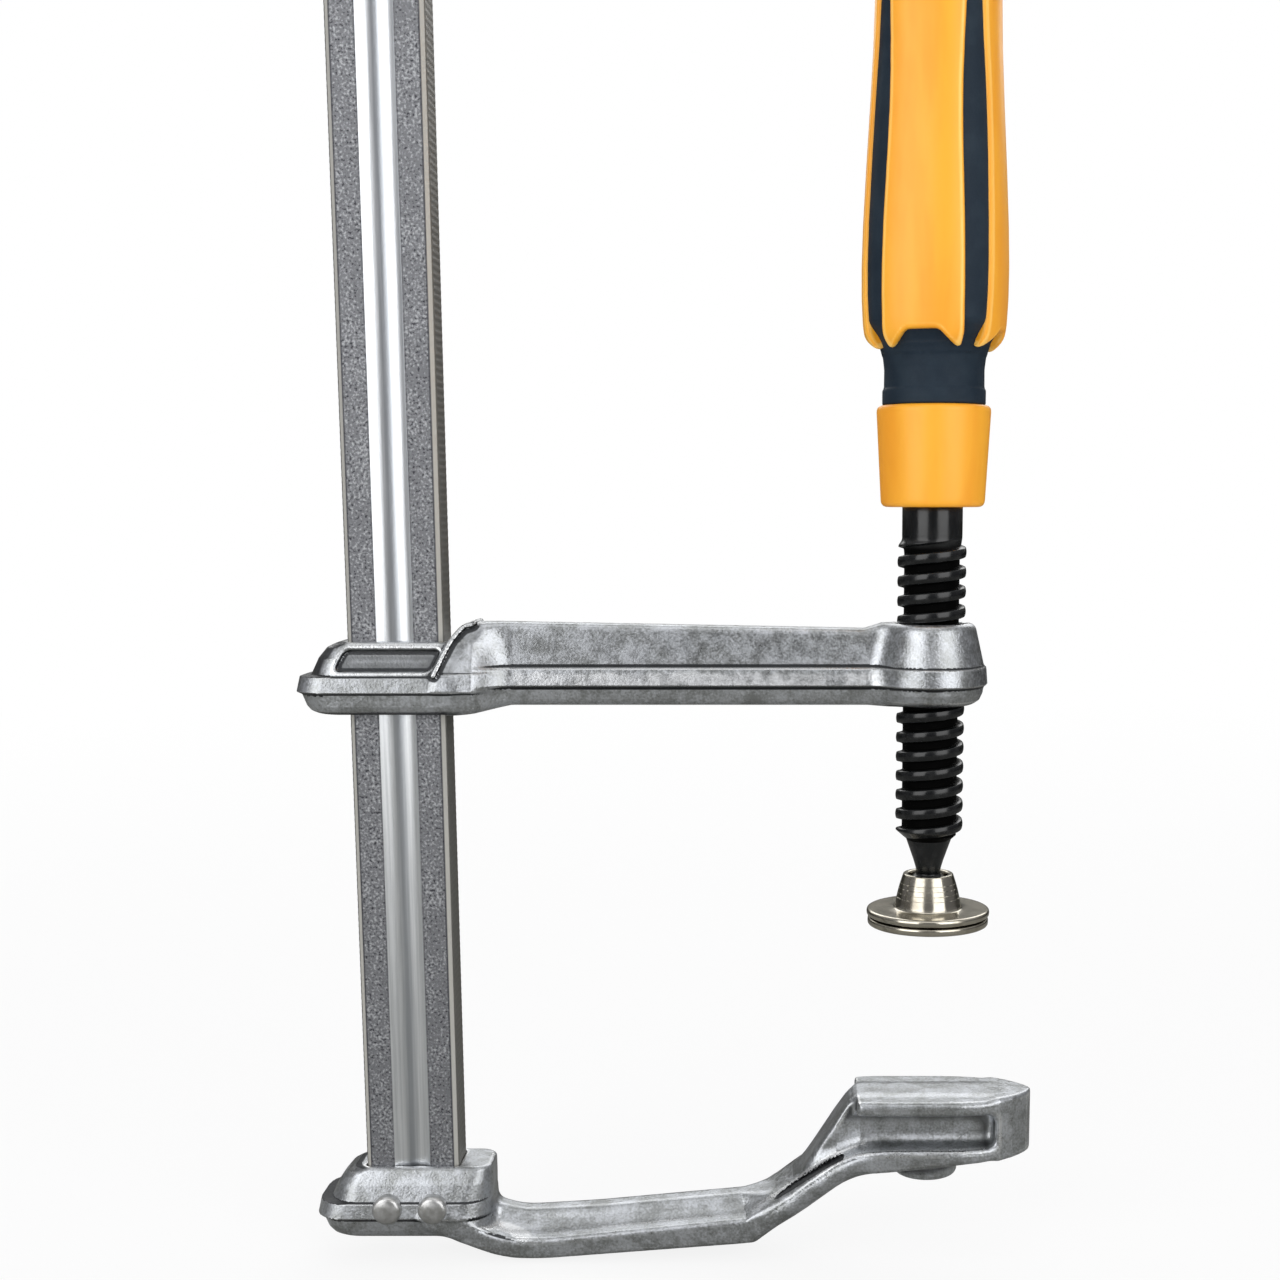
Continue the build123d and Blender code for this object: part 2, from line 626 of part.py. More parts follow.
def grip_form(inset):
    """Revolve the outer form of the lobes, drawn in by an inset."""
    with BuildPart() as form:
        with BuildSketch(Plane.XZ):
            with BuildLine():
                cone = (LOBE_CONE_RADIUS - inset, lobe_bottom + LOBE_CONE_HEIGHT)
                middle = (LOBE_MIDDLE_RADIUS - inset, lobe_bottom + LOBE_MIDDLE)
                end = (LOBE_END_RADIUS - inset, handle_top - LOBE_END_BELOW_TOP)
                top = (DOME_RADIUS, handle_top - inset)
                Polyline(
                    (0, lobe_bottom),
                    (LOBE_FOOT_RADIUS - inset, lobe_bottom),
                    (LOBE_FOOT_BEND_RADIUS - inset, lobe_bottom + LOBE_FOOT_BEND),
                    cone,
                )
                ThreePointArc(cone, (LOBE_RADIUS - inset, lobe_bottom + LOBE_WIDEST), middle)
                ThreePointArc(
                    middle, (LOBE_WAIST_RADIUS - inset, handle_top - LOBE_WAIST_BELOW_TOP), end
                )
                TangentArc(end, top, tangent=(0.1, 1))
                Polyline(top, (0, handle_top - inset), (0, lobe_bottom))
            make_face()
        revolve(axis=Axis.Z)
    return form.part


def stripe_floor():
    """Revolve the plain form that the stripes are filled up from."""
    with BuildPart() as floor:
        with BuildSketch(Plane.XZ):
            with BuildLine():
                Polyline(
                    (0, lobe_bottom),
                    (FLOOR_FOOT_RADIUS, lobe_bottom),
                    (FLOOR_RADIUS, lobe_bottom + LOBE_CONE_HEIGHT),
                    (FLOOR_RADIUS, handle_top - FLOOR_SHOULDER),
                    (DOME_RADIUS, handle_top - STRIPE_DEPTH),
                    (0, handle_top - STRIPE_DEPTH),
                    close=True,
                )
            make_face()
        revolve(axis=Axis.Z)
    return floor.part


def stripe_wedge(direction):
    """Make one radial wedge that parts two lobes, narrower at the top."""
    reach = 2 * LOBE_RADIUS
    heading = direction - 90
    with BuildPart() as wedge:
        for height, degrees in (
            (lobe_bottom - 1, STRIPE_LOW_DEGREES),
            (handle_top + 1, STRIPE_HIGH_DEGREES),
        ):
            with BuildSketch(Plane.XY.offset(height)):
                with BuildLine():
                    first = PolarLine((0, 0), reach, heading - degrees / 2)
                    second = PolarLine((0, 0), reach, heading + degrees / 2)
                    Line(first @ 1, second @ 1)
                make_face()
                Circle(STRIPE_INNER_RADIUS, mode=Mode.SUBTRACT)
        loft()
    return wedge.part


def foot_notch(direction):
    """Make one trapezoidal notch in the foot of a lobe."""
    plane = Plane.XZ.rotated((0, 0, direction)).offset(FLOOR_FOOT_RADIUS - STRIPE_DEPTH)
    with BuildPart() as notch:
        with BuildSketch(plane):
            with BuildLine():
                Polyline(
                    (-NOTCH_WIDTH / 2, lobe_bottom - 1),
                    (NOTCH_WIDTH / 2, lobe_bottom - 1),
                    (NOTCH_TOP_WIDTH / 2, lobe_bottom + NOTCH_HEIGHT),
                    (-NOTCH_TOP_WIDTH / 2, lobe_bottom + NOTCH_HEIGHT),
                    close=True,
                )
            make_face()
        extrude(amount=LOBE_RADIUS)
    return notch.part


# Handle: hard core with four lobes, and the soft grip that fills the neck and the stripes
outer_form = grip_form(0)
stripe_form = grip_form(STRIPE_RECESS)
inner_form = stripe_floor()
lobe_turns = [LOBE_TURN + turn * 360 / LOBES for turn in range(LOBES)]
grip_space = Part() + [stripe_wedge(turn + 180 / LOBES) for turn in lobe_turns]
grip_space += [foot_notch(turn) for turn in lobe_turns]
core_neck_radius = GRIP_NECK_RADIUS - GRIP_NECK_WALL

with BuildPart() as handle_core:
    add(outer_form)
    add(grip_space, mode=Mode.SUBTRACT)
    add(inner_form)
    with BuildSketch(Plane.XY.offset(collar_top)):
        Circle(core_neck_radius)
    extrude(amount=GRIP_NECK_HEIGHT)
    with BuildSketch(Plane.XY.offset(collar_top)):
        Circle(TANG_RADIUS + PRESS_GAP)
    extrude(amount=tang_top - collar_top + PRESS_GAP, mode=Mode.SUBTRACT)
export(handle_core, "handle_core")

with BuildPart() as handle_grip:
    add(stripe_form)
    add(grip_space, mode=Mode.INTERSECT)
    with BuildSketch(Plane.XZ):
        with BuildLine():
            Polyline(
                (0, collar_top),
                (GRIP_NECK_RADIUS, collar_top),
                (GRIP_NECK_RADIUS, collar_top + GRIP_NECK_STRAIGHT),
                (LOBE_FOOT_RADIUS, lobe_bottom),
                (0, lobe_bottom),
                close=True,
            )
        make_face()
    revolve(axis=Axis.Z)
    add(inner_form, mode=Mode.SUBTRACT)
    with BuildSketch(Plane.XY.offset(collar_top)):
        Circle(core_neck_radius)
    extrude(amount=GRIP_NECK_HEIGHT, mode=Mode.SUBTRACT)
export(handle_grip, "handle_grip")
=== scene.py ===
"""Sliding-arm welding clamp: the look of every piece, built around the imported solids.

Shapes are worked out in millimetres, in the frame of the solids, and become metres when a mesh
is made. The origin is the centre of the anvil's face on the axis of the screw, +Z is up along
the rail, and the rail stands at -X.
"""
import json
import logging
import math
from collections.abc import Callable, Sequence
from dataclasses import dataclass, field
from enum import Enum
from functools import partial

import bpy
import numpy as np
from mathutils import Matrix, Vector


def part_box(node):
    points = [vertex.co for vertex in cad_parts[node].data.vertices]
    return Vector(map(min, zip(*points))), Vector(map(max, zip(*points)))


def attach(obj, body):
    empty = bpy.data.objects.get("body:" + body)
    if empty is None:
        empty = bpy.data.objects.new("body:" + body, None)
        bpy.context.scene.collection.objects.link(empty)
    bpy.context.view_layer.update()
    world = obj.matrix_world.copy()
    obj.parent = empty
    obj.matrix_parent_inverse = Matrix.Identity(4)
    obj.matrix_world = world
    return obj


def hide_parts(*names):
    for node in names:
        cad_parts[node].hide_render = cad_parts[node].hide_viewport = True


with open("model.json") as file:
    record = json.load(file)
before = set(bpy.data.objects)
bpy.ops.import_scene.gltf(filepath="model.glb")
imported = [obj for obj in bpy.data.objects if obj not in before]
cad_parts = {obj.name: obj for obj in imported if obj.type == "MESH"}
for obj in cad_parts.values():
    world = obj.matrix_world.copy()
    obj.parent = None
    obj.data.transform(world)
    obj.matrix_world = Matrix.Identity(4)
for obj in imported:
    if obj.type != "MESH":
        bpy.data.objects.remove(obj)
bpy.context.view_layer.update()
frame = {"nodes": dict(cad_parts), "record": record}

MM = 0.001

# How a skin is found on a grid: the room round it, in cells, how often its points settle, and
# how steep a distance is taken to be at least
GRID_MARGIN = 2.37
SETTLING_ROUNDS = 3
LEAST_SQUARED_SLOPE = 0.2
LEAST_SLOPE = 0.3
UNIT_STEPS = np.eye(3, dtype=int)
CELL_CORNERS = np.indices((2, 2, 2)).reshape(3, -1).T

# How far from the skin each mark looks for the shape, in millimetres. The finishes paint shade where the skin
# is hollow or shaded, and a highlight along its edges
MARK_PROBES = {"hollow": 0.9, "shade": 3.0, "edge": -0.9}

Grid = np.ndarray
Outline = Sequence[tuple[float, float]]
Distance = Callable[[Grid, Grid, Grid], Grid]
Colour = tuple[float, float, float]
Values = tuple[float, ...]

log = logging.getLogger("clamp")


# Distances: negative inside a shape, in millimetres

def blend_min(first: Grid, second: Grid, reach: float | Grid) -> Grid:
    """Join two shapes with a fillet.

    Args:
        first: Distance to one shape.
        second: Distance to the other shape.
        reach: How near the two have to be before the fillet starts.

    Returns:
        Distance to the joined shape.
    """
    share = np.clip(0.5 + 0.5 * (second - first) / reach, 0, 1)
    return second + (first - second) * share - reach * share * (1 - share)


def blend_max(first: Grid, second: Grid, reach: float | Grid) -> Grid:
    """Keep what two shapes share, with a rounded edge between them.

    Args:
        first: Distance to one shape.
        second: Distance to the other shape.
        reach: How near the two have to be before the rounding starts.

    Returns:
        Distance to the shared shape.
    """
    return -blend_min(-first, -second, reach)


def ease(share: Grid | float) -> Grid:
    """Turn a share from 0 to 1 into one that starts and ends level."""
    share = np.clip(share, 0, 1)
    return share * share * (3 - 2 * share)


def flowing(place: Grid, places: Sequence[float], values: Sequence[float], reach: float) -> Grid:
    """Read a profile from its points, with soft bends.

    Args:
        place: Where to read it.
        places: Places of its points in order.
        values: Values at those places.
        reach: How far a bend spreads to each side.

    Returns:
        The softened values.
    """
    steps = np.linspace(-reach, reach, 7)
    return sum(np.interp(place + step, places, values) for step in steps) / len(steps)


def segment_squared(u: Grid, v: Grid, start: Sequence[float], end: Sequence[float]) -> Grid:
    """Measure to a straight piece of a line.

    Args:
        u: First coordinates.
        v: Second coordinates.
        start: First end of the piece.
        end: Other end of the piece.

    Returns:
        Squared distance to the piece.
    """
    run, rise = end[0] - start[0], end[1] - start[1]
    length = max(run * run + rise * rise, 1e-12)
    along = np.clip(((u - start[0]) * run + (v - start[1]) * rise) / length, 0, 1)
    return (u - start[0] - run * along) ** 2 + (v - start[1] - rise * along) ** 2


def path_distance(u: Grid, v: Grid, path: Outline) -> Grid:
    """Measure to an open line.

    Args:
        u: First coordinates.
        v: Second coordinates.
        path: Points of the line in order.

    Returns:
        Distance to the line, never negative.
    """
    nearest = np.inf
    for start, end in zip(path, path[1:]):
        nearest = np.minimum(nearest, segment_squared(u, v, start, end))
    return np.sqrt(nearest)


def outline_distance(u: Grid, v: Grid, outline: Outline) -> Grid:
    """Measure to a closed outline.

    Args:
        u: First coordinates.
        v: Second coordinates.
        outline: Corners in order.

    Returns:
        Distance to the outline, negative inside.
    """
    u, v = np.broadcast_arrays(u, v)
    nearest = np.full(u.shape, np.inf)
    inside = np.zeros(u.shape, bool)
    for start, end in zip(outline, [*outline[1:], outline[0]]):
        nearest = np.minimum(nearest, segment_squared(u, v, start, end))
        if start[1] != end[1]:
            slope = (end[0] - start[0]) / (end[1] - start[1])
            spans = (start[1] > v) != (end[1] > v)
            inside ^= spans & (u < start[0] + slope * (v - start[1]))
    return np.where(inside, -1, 1) * np.sqrt(nearest)


def slab(u: Grid, v: Grid, half_u: Grid | float, half_v: Grid | float, corner: Grid | float) -> Grid:
    """Measure to a rectangle with round corners about the origin.

    Args:
        u: First coordinates.
        v: Second coordinates.
        half_u: Half its size along the first.
        half_v: Half its size along the second.
        corner: Radius of its corners.

    Returns:
        Distance to the rectangle, negative inside.
    """
    over_u = abs(u) - half_u + corner
    over_v = abs(v) - half_v + corner
    outer = np.hypot(np.maximum(over_u, 0), np.maximum(over_v, 0))
    return outer + np.minimum(np.maximum(over_u, over_v), 0) - corner


def round_corners(points: Outline, reach: float, closed: bool = False, steps: int = 5) -> list:
    """Replace the corners of a line with short curves.

    Args:
        points: Corners in order.
        reach: How far from a corner its curve starts.
        closed: Whether the last point joins the first.
        steps: Points in each curve.

    Returns:
        The points of the rounded line, with one more just outside each curve that holds the
        shading of the flat beside it.
    """
    hold, most_of_side = 0.12, 0.45
    rounded = []
    for place, corner in enumerate(points):
        if not closed and place in (0, len(points) - 1):
            rounded.append(tuple(corner))
            continue
        corner = np.array(corner, float)
        before = np.array(points[place - 1], float) - corner
        after = np.array(points[(place + 1) % len(points)], float) - corner
        length_before, length_after = np.linalg.norm(before), np.linalg.norm(after)
        near = min(reach, most_of_side * length_before, most_of_side * length_after)
        before *= near / length_before
        after *= near / length_after
        rounded.append(tuple(corner + before * (1 + hold)))
        for share in np.linspace(0, 1, steps):
            rounded.append(tuple(corner + before * (1 - share) ** 2 + after * share**2))
        rounded.append(tuple(corner + after * (1 + hold)))
    return rounded


# Meshes

class Axis(Enum):
    """The direction that a turned piece's axis runs in."""

    UPRIGHT = (0, 1, 2)
    ACROSS = (0, 2, 1)


@dataclass
class Skin:
    """The points and faces of one mesh, in millimetres."""

    points: np.ndarray
    faces: list[tuple[int, ...]]
    normals: np.ndarray | None = None
    marks: dict[str, np.ndarray] = field(default_factory=dict)

    def mesh(self, name: str) -> bpy.types.Mesh:
        """Make a smooth-shaded Blender mesh in metres.

        Args:
            name: Name of the mesh.

        Returns:
            The mesh.
        """
        mesh = bpy.data.meshes.new(name)
        mesh.from_pydata((self.points * MM).tolist(), [], self.faces)
        mesh.validate()
        mesh.shade_smooth()
        if self.normals is not None and len(mesh.vertices) == len(self.normals):
            mesh.normals_split_custom_set_from_vertices(self.normals.tolist())
        for mark, values in self.marks.items():
            layer = mesh.attributes.new(mark, "FLOAT", "POINT")
            layer.data.foreach_set("value", values.astype(np.float32))
        mesh.update()
        return mesh


def lathe(profile: Outline, centre: Sequence[float] = (0, 0, 0), axis: Axis = Axis.UPRIGHT,
          closed: bool = False, sides: int = 144) -> Skin:
    """Turn a profile about an axis.

    Args:
        profile: Radius and height of each point. An open profile starts and ends on the axis.
        centre: A point of the axis, at height 0 of the profile.
        axis: The direction of the axis.
        closed: Whether the profile is a closed loop that stays off the axis.
        sides: Points round each circle.

    Returns:
        The turned skin.
    """
    rings = list(profile) if closed else list(profile)[1:-1]
    angles = np.arange(sides) * 2 * math.pi / sides
    radius = np.array([ring[0] for ring in rings])[:, None]
    height = np.array([ring[1] for ring in rings])[:, None]
    rows = np.stack([radius * np.cos(angles), radius * np.sin(angles), height + 0 * angles], axis=2)
    points = rows.reshape(-1, 3)
    faces = ring_faces(len(rings), sides, closed)
    if not closed:
        low, high = len(points), len(points) + 1
        points = np.vstack([points, [0, 0, profile[0][1]], [0, 0, profile[-1][1]]])
        last = (len(rings) - 1) * sides
        for side in range(sides):
            after = (side + 1) % sides
            faces.append((low, after, side))
            faces.append((high, last + side, last + after))
    if axis is Axis.ACROSS:
        points = points[:, Axis.ACROSS.value] * (1, -1, 1)
    return Skin(points + np.array(centre, float), faces)


def ring_faces(rings: int, sides: int, closed: bool = False) -> list[tuple[int, ...]]:
    """List the four-sided faces between neighbouring rings of points.

    Args:
        rings: How many rings there are.
        sides: Points in each ring.
        closed: Whether the last ring joins the first.

    Returns:
        The faces.
    """
    ring = np.arange(rings if closed else rings - 1)[:, None]
    side = np.arange(sides)[None, :]
    above = (ring + 1) % rings
    after = (side + 1) % sides
    corners = (ring * sides + side, ring * sides + after, above * sides + after, above * sides + side)
    return [tuple(face) for face in np.stack(corners, axis=2).reshape(-1, 4).tolist()]


def slope_of(distance: Distance, points: np.ndarray, width: float = 0.03) -> np.ndarray:
    """Work out which way a distance grows at some points.

    Args:
        distance: Distance to the shape.
        points: Where to look.
        width: Half the step that is taken each way.

    Returns:
        One gradient for each point.
    """
    gradient = np.zeros_like(points)
    for axis in range(3):
        shift = np.zeros(3)
        shift[axis] = width
        ahead, behind = (points + shift).T, (points - shift).T
        gradient[:, axis] = (distance(*ahead) - distance(*behind)) / (2 * width)
    return gradient


def grid_points(values: Grid, cells: np.ndarray) -> np.ndarray:
    """Place a point in each cell of a grid that a skin passes through.

    Args:
        values: Distances at the grid's corners.
        cells: The cells that the skin passes through.

    Returns:
        The mean of the places where the skin crosses each cell's edges, counted in cells.
    """
    total = np.zeros((len(cells), 3))
    hits = np.zeros(len(cells))
    for corner in CELL_CORNERS:
        for step in UNIT_STEPS[corner == 0]:
            near = values[tuple((cells + corner).T)]
            far = values[tuple((cells + corner + step).T)]
            crossed = (near < 0) != (far < 0)
            share = near[crossed] / (near[crossed] - far[crossed])
            total[crossed] += corner + share[:, None] * step
            hits += crossed
    return cells + total / hits[:, None]


def grid_faces(inside: Grid, index: Grid) -> list[tuple[int, ...]]:
    """Join the points of the four cells round each edge of a grid that a skin crosses.

    Args:
        inside: Whether each corner of the grid is inside the shape.
        index: Number of the point in each cell.

    Returns:
        The faces, which look outward.
    """
    faces = []
    for axis in range(3):
        near, far = [slice(1, -1)] * 3, [slice(1, -1)] * 3
        near[axis], far[axis] = slice(None, -1), slice(1, None)
        first, second = inside[tuple(near)], inside[tuple(far)]
        aside, beyond = UNIT_STEPS[(axis + 1) % 3], UNIT_STEPS[(axis + 2) % 3]
        for leaving in (True, False):
            edges = np.argwhere((first == leaving) & (second != leaving)) + aside + beyond
            ring = [edges, edges - aside, edges - aside - beyond, edges - beyond]
            if not leaving:
                ring.reverse()
            faces.append(np.stack([index[tuple(place.T)] for place in ring], axis=1))
    return [tuple(face) for face in np.vstack(faces).tolist()]


def cast(distance: Distance, low: Sequence[float], high: Sequence[float], cell: float) -> Skin:
    """Find the skin of a shape on a grid, and settle its points on the shape.

    Args:
        distance: Distance to the shape.
        low: Lowest corner of the room that the shape takes.
        high: Highest corner of that room.
        cell: Size of the grid's cells.

    Returns:
        The skin, with the shape's own normals, and marks where it is hollow, where it is
        shaded and where it has an edge.
    """
    margin = GRID_MARGIN * cell
    lines = [np.arange(a - margin, b + 2 * margin, cell) for a, b in zip(low, high)]
    values = distance(lines[0][:, None, None], lines[1][None, :, None], lines[2][None, None, :])
    inside = values < 0
    shape = tuple(size - 1 for size in values.shape)
    count = np.zeros(shape, np.int8)
    for i, j, k in CELL_CORNERS:
        count += inside[i:i + shape[0], j:j + shape[1], k:k + shape[2]]
    cells = np.argwhere((count > 0) & (count < len(CELL_CORNERS)))
    index = np.full(shape, -1)
    index[tuple(cells.T)] = np.arange(len(cells))
    points = np.array([line[0] for line in lines]) + cell * grid_points(values, cells)
    for _ in range(SETTLING_ROUNDS):
        gradient = slope_of(distance, points)
        steepness = np.maximum((gradient**2).sum(axis=1), LEAST_SQUARED_SLOPE)
        move = np.clip(distance(*points.T) / steepness, -cell / 2, cell / 2)
        points = points - gradient * move[:, None]
    normals = slope_of(distance, points)
    steepness = np.maximum(np.linalg.norm(normals, axis=1), LEAST_SLOPE)
    normals /= steepness[:, None]
    marks = {}
    for mark, probe in MARK_PROBES.items():
        away = abs(distance(*(points + normals * probe).T) / (probe * steepness))
        marks[mark] = np.clip(1 - away, 0, 1)
    return Skin(points, grid_faces(inside, index), normals, marks)


# Shader maths

class Signal:
    """A socket that carries a number, a vector or a colour, with arithmetic that adds nodes."""

    def __init__(self, recipe: "Recipe", socket: bpy.types.NodeSocket) -> None:
        """Wrap a socket of a recipe."""
        self.recipe = recipe
        self.socket = socket

    def _join(self, operation: str, *values: "Signal | float | tuple") -> "Signal":
        """Add the node that works on some values.

        Args:
            operation: What it does.
            values: The values in order, of which at least one is a signal.

        Returns:
            The result.
        """
        plain = all(value.socket.type == "VALUE" for value in values if isinstance(value, Signal))
        kind = "ShaderNodeMath" if plain else "ShaderNodeVectorMath"
        return self.recipe.node(kind, {"operation": operation}, dict(enumerate(values)))

    def __add__(self, other: "Signal | float") -> "Signal":
        """Add."""
        return self._join("ADD", self, other)

    def __sub__(self, other: "Signal | float") -> "Signal":
        """Subtract."""
        return self._join("SUBTRACT", self, other)

    def __rsub__(self, other: "Signal | float") -> "Signal":
        """Subtract from a number."""
        return self._join("SUBTRACT", other, self)

    def __mul__(self, other: "Signal | float | tuple") -> "Signal":
        """Multiply."""
        return self._join("MULTIPLY", self, other)

    def __abs__(self) -> "Signal":
        """Drop the sign."""
        return self._join("ABSOLUTE", self)

    __radd__ = __add__
    __rmul__ = __mul__

    def fit(self, low: float, high: float, start: float = 0, end: float = 1) -> "Signal":
        """Map a range to another with soft ends.

        Args:
            low: Value that gives start.
            high: Value that gives end.
            start: Result at the low end.
            end: Result at the high end.

        Returns:
            The mapped value.
        """
        settings = {"interpolation_type": "SMOOTHSTEP"}
        inputs = dict(enumerate((self, low, high, start, end)))
        return self.recipe.node("ShaderNodeMapRange", settings, inputs)

    def part(self, name: str) -> "Signal":
        """Take the X, Y or Z of a vector."""
        return self.recipe.node("ShaderNodeSeparateXYZ", inputs={0: self}, output=name)


class Recipe:
    """The nodes of one material or world."""

    def __init__(self, owner: bpy.types.Material | bpy.types.World) -> None:
        """Start from an empty node tree.

        Args:
            owner: The material or world that the nodes belong to.
        """
        owner.use_nodes = True
        self.tree = owner.node_tree
        self.tree.nodes.clear()

    def node(self, kind: str, settings: dict | None = None, inputs: dict | None = None,
             output: str | int = 0) -> Signal:
        """Add a node.

        Args:
            kind: Type of the node.
            settings: Its properties, which are set first. "stops" holds the places and colours
                of a ramp.
            inputs: Values or signals by the name or number of a socket.
            output: Name or number of the socket to return.

        Returns:
            The chosen output.
        """
        node = self.tree.nodes.new(kind)
        for name, value in (settings or {}).items():
            if name == "stops":
                self._set_stops(node.color_ramp, value)
            else:
                setattr(node, name, value)
        for name, value in (inputs or {}).items():
            socket = self._socket(node.inputs, name)
            if isinstance(value, Signal):
                self.tree.links.new(value.socket, socket)
            elif socket.type == "RGBA" and isinstance(value, tuple):
                socket.default_value = (*value, 1)
            elif socket.type == "VECTOR" and not isinstance(value, tuple):
                socket.default_value = (value, value, value)
            else:
                socket.default_value = value
        return Signal(self, self._socket(node.outputs, output))

    @staticmethod
    def _socket(sockets: bpy.types.bpy_prop_collection, name: str | int) -> bpy.types.NodeSocket:
        """Find a socket.

        Args:
            sockets: Inputs or outputs of a node.
            name: Number, identifier or name of the socket.

        Returns:
            The socket, which is one in use where several share a name.
        """
        if isinstance(name, int):
            return sockets[name]
        return next(s for s in sockets if s.enabled and name in (s.identifier, s.name))

    @staticmethod
    def _set_stops(ramp: bpy.types.ColorRamp, stops: Sequence[tuple[float, Colour]]) -> None:
        """Give a ramp its stops.

        Args:
            ramp: The ramp.
            stops: Place and colour of each stop.
        """
        while len(ramp.elements) < len(stops):
            ramp.elements.new(1)
        for element, (place, colour) in zip(ramp.elements, stops):
            element.position = place
            element.color = (*colour, 1)

    def place(self) -> Signal:
        """Give the place on the piece, in metres, which moves with it."""
        return self.node("ShaderNodeTexCoord", output="Object")

    def noise(self, size: float, detail: float = 2, stretch: tuple = (1, 1, 1)) -> Signal:
        """Add noise from about 0 to 1.

        Args:
            size: Size of its blotches, in millimetres.
            detail: How many finer layers it has.
            stretch: How much longer the blotches are along X, Y and Z.

        Returns:
            The noise.
        """
        place = self.place() * tuple(1 / share for share in stretch)
        inputs = {"Vector": place, "Scale": 1 / (size * MM), "Detail": detail}
        return self.node("ShaderNodeTexNoise", inputs=inputs)

    def mark(self, name: str) -> Signal:
        """Read a mark of the skin, which is 0 where it has none."""
        return self.node("ShaderNodeAttribute", {"attribute_name": name}, output="Fac")

    def mix(self, share: Signal, low: "Colour | Signal", high: "Colour | Signal") -> Signal:
        """Mix two colours.

        Args:
            share: 0 for the first and 1 for the second.
            low: First colour.
            high: Second colour.

        Returns:
            The mixed colour.
        """
        inputs = {"Factor_Float": share, "A_Color": low, "B_Color": high}
        return self.node("ShaderNodeMix", {"data_type": "RGBA"}, inputs, "Result_Color")

    def bump(self, height: Signal, depth: float) -> Signal:
        """Raise the surface.

        Args:
            height: Height from 0 to 1.
            depth: Full height in millimetres.

        Returns:
            The changed normal.
        """
        return self.node("ShaderNodeBump", inputs={"Height": height, "Distance": depth * MM}, output="Normal")

    def ray(self, kind: str) -> Signal:
        """Tell the rays of a kind, such as Camera, Glossy or Transmission."""
        return self.node("ShaderNodeLightPath", output=f"Is {kind} Ray")

    def surface(self, inputs: dict) -> None:
        """Finish the recipe with a Principled surface."""
        self.finish(self.node("ShaderNodeBsdfPrincipled", inputs=inputs))

    def finish(self, shader: Signal, kind: str = "ShaderNodeOutputMaterial") -> None:
        """Show a shader on the surface, or round the scene with the output of a world."""
        output = self.tree.nodes.new(kind)
        self.tree.links.new(shader.socket, output.inputs["Surface"])


# Finishes

@dataclass(frozen=True)
class Finish:
    """A finish that pieces of one material slot share."""

    slot: str = ""

    def material(self) -> bpy.types.Material:
        """Make the finish's material.

        Returns:
            The material, named for its slot.
        """
        material = bpy.data.materials.new(self.slot)
        self.mix_into(Recipe(material))
        return material

    def mix_into(self, recipe: Recipe) -> None:
        """Add the finish's nodes."""
        raise NotImplementedError


@dataclass(frozen=True)
class ForgedZinc(Finish):
    """Satin zinc over a scaled, fettled forging. Noises give their size in millimetres."""

    slot: str = "forged_zinc"
    dull: Colour = (0.30, 0.31, 0.31)
    clean: Colour = (0.56, 0.58, 0.61)
    # worn: bright metal on the worn belt, and also the painted highlight along the edges
    worn: Colour = (0.80, 0.81, 0.82)
    # Colour of the painted shade in the hollows, the concave sweeps, the head's far end and its pockets
    soot: Colour = (0.045, 0.047, 0.05)
    cloud: tuple = (7, 3)
    scale: tuple = (2.4, 4)
    grain: tuple = (0.55, 3)
    roughness: Values = (0.3, 0.7, 0.27, 0.44)
    relief: float = 0.13

    def mix_into(self, recipe: Recipe) -> None:
        """Mottle the plating, dent the skin, paint shade into the hollows and a highlight along the edges.

        Args:
            recipe: The material's nodes.
        """
        cloud = recipe.noise(*self.cloud)
        grain = recipe.noise(*self.grain)
        scale = recipe.noise(*self.scale)
        skin = scale * 0.5 + grain * 0.5
        tone = (cloud * 0.4 + scale * 0.25 + grain * 0.35).fit(0.38, 0.62)
        hollow = (recipe.mark("hollow") + grain * 0.06).fit(0.08, 0.26)
        shade = (recipe.mark("shade") + grain * 0.12 - 0.06).fit(0.06, 0.40)
        # The edge mark gives a painted highlight along convex edges
        edge = (recipe.mark("edge") + grain * 0.12 - 0.06).fit(0.10, 0.30)
        head_shade = (recipe.mark("soot") + grain * 0.3 - 0.15).fit(0.15, 0.7)
        rubbed = (recipe.mark("rubbed") + scale * 1.8 - 0.9).fit(0.3, 1.2)
        colour = recipe.mix(tone, self.dull, self.clean)
        # Painted highlight along the edges, the worn belt, then painted shade at the head, in the sweeps and
        # in the hollows
        layers = (
            (edge * 0.65, self.worn), (rubbed * 0.6, self.worn), (head_shade * 0.85, self.soot),
            (shade * 0.6, self.soot), (hollow * 0.96, self.soot),
        )
        for share, layer in layers:
            colour = recipe.mix(share, colour, layer)
        recipe.surface({
            "Base Color": colour,
            "Metallic": 0.95,
            "Roughness": skin.fit(*self.roughness) + hollow * 0.2 - edge * 0.06,
            "Normal": recipe.bump(skin, self.relief),
        })


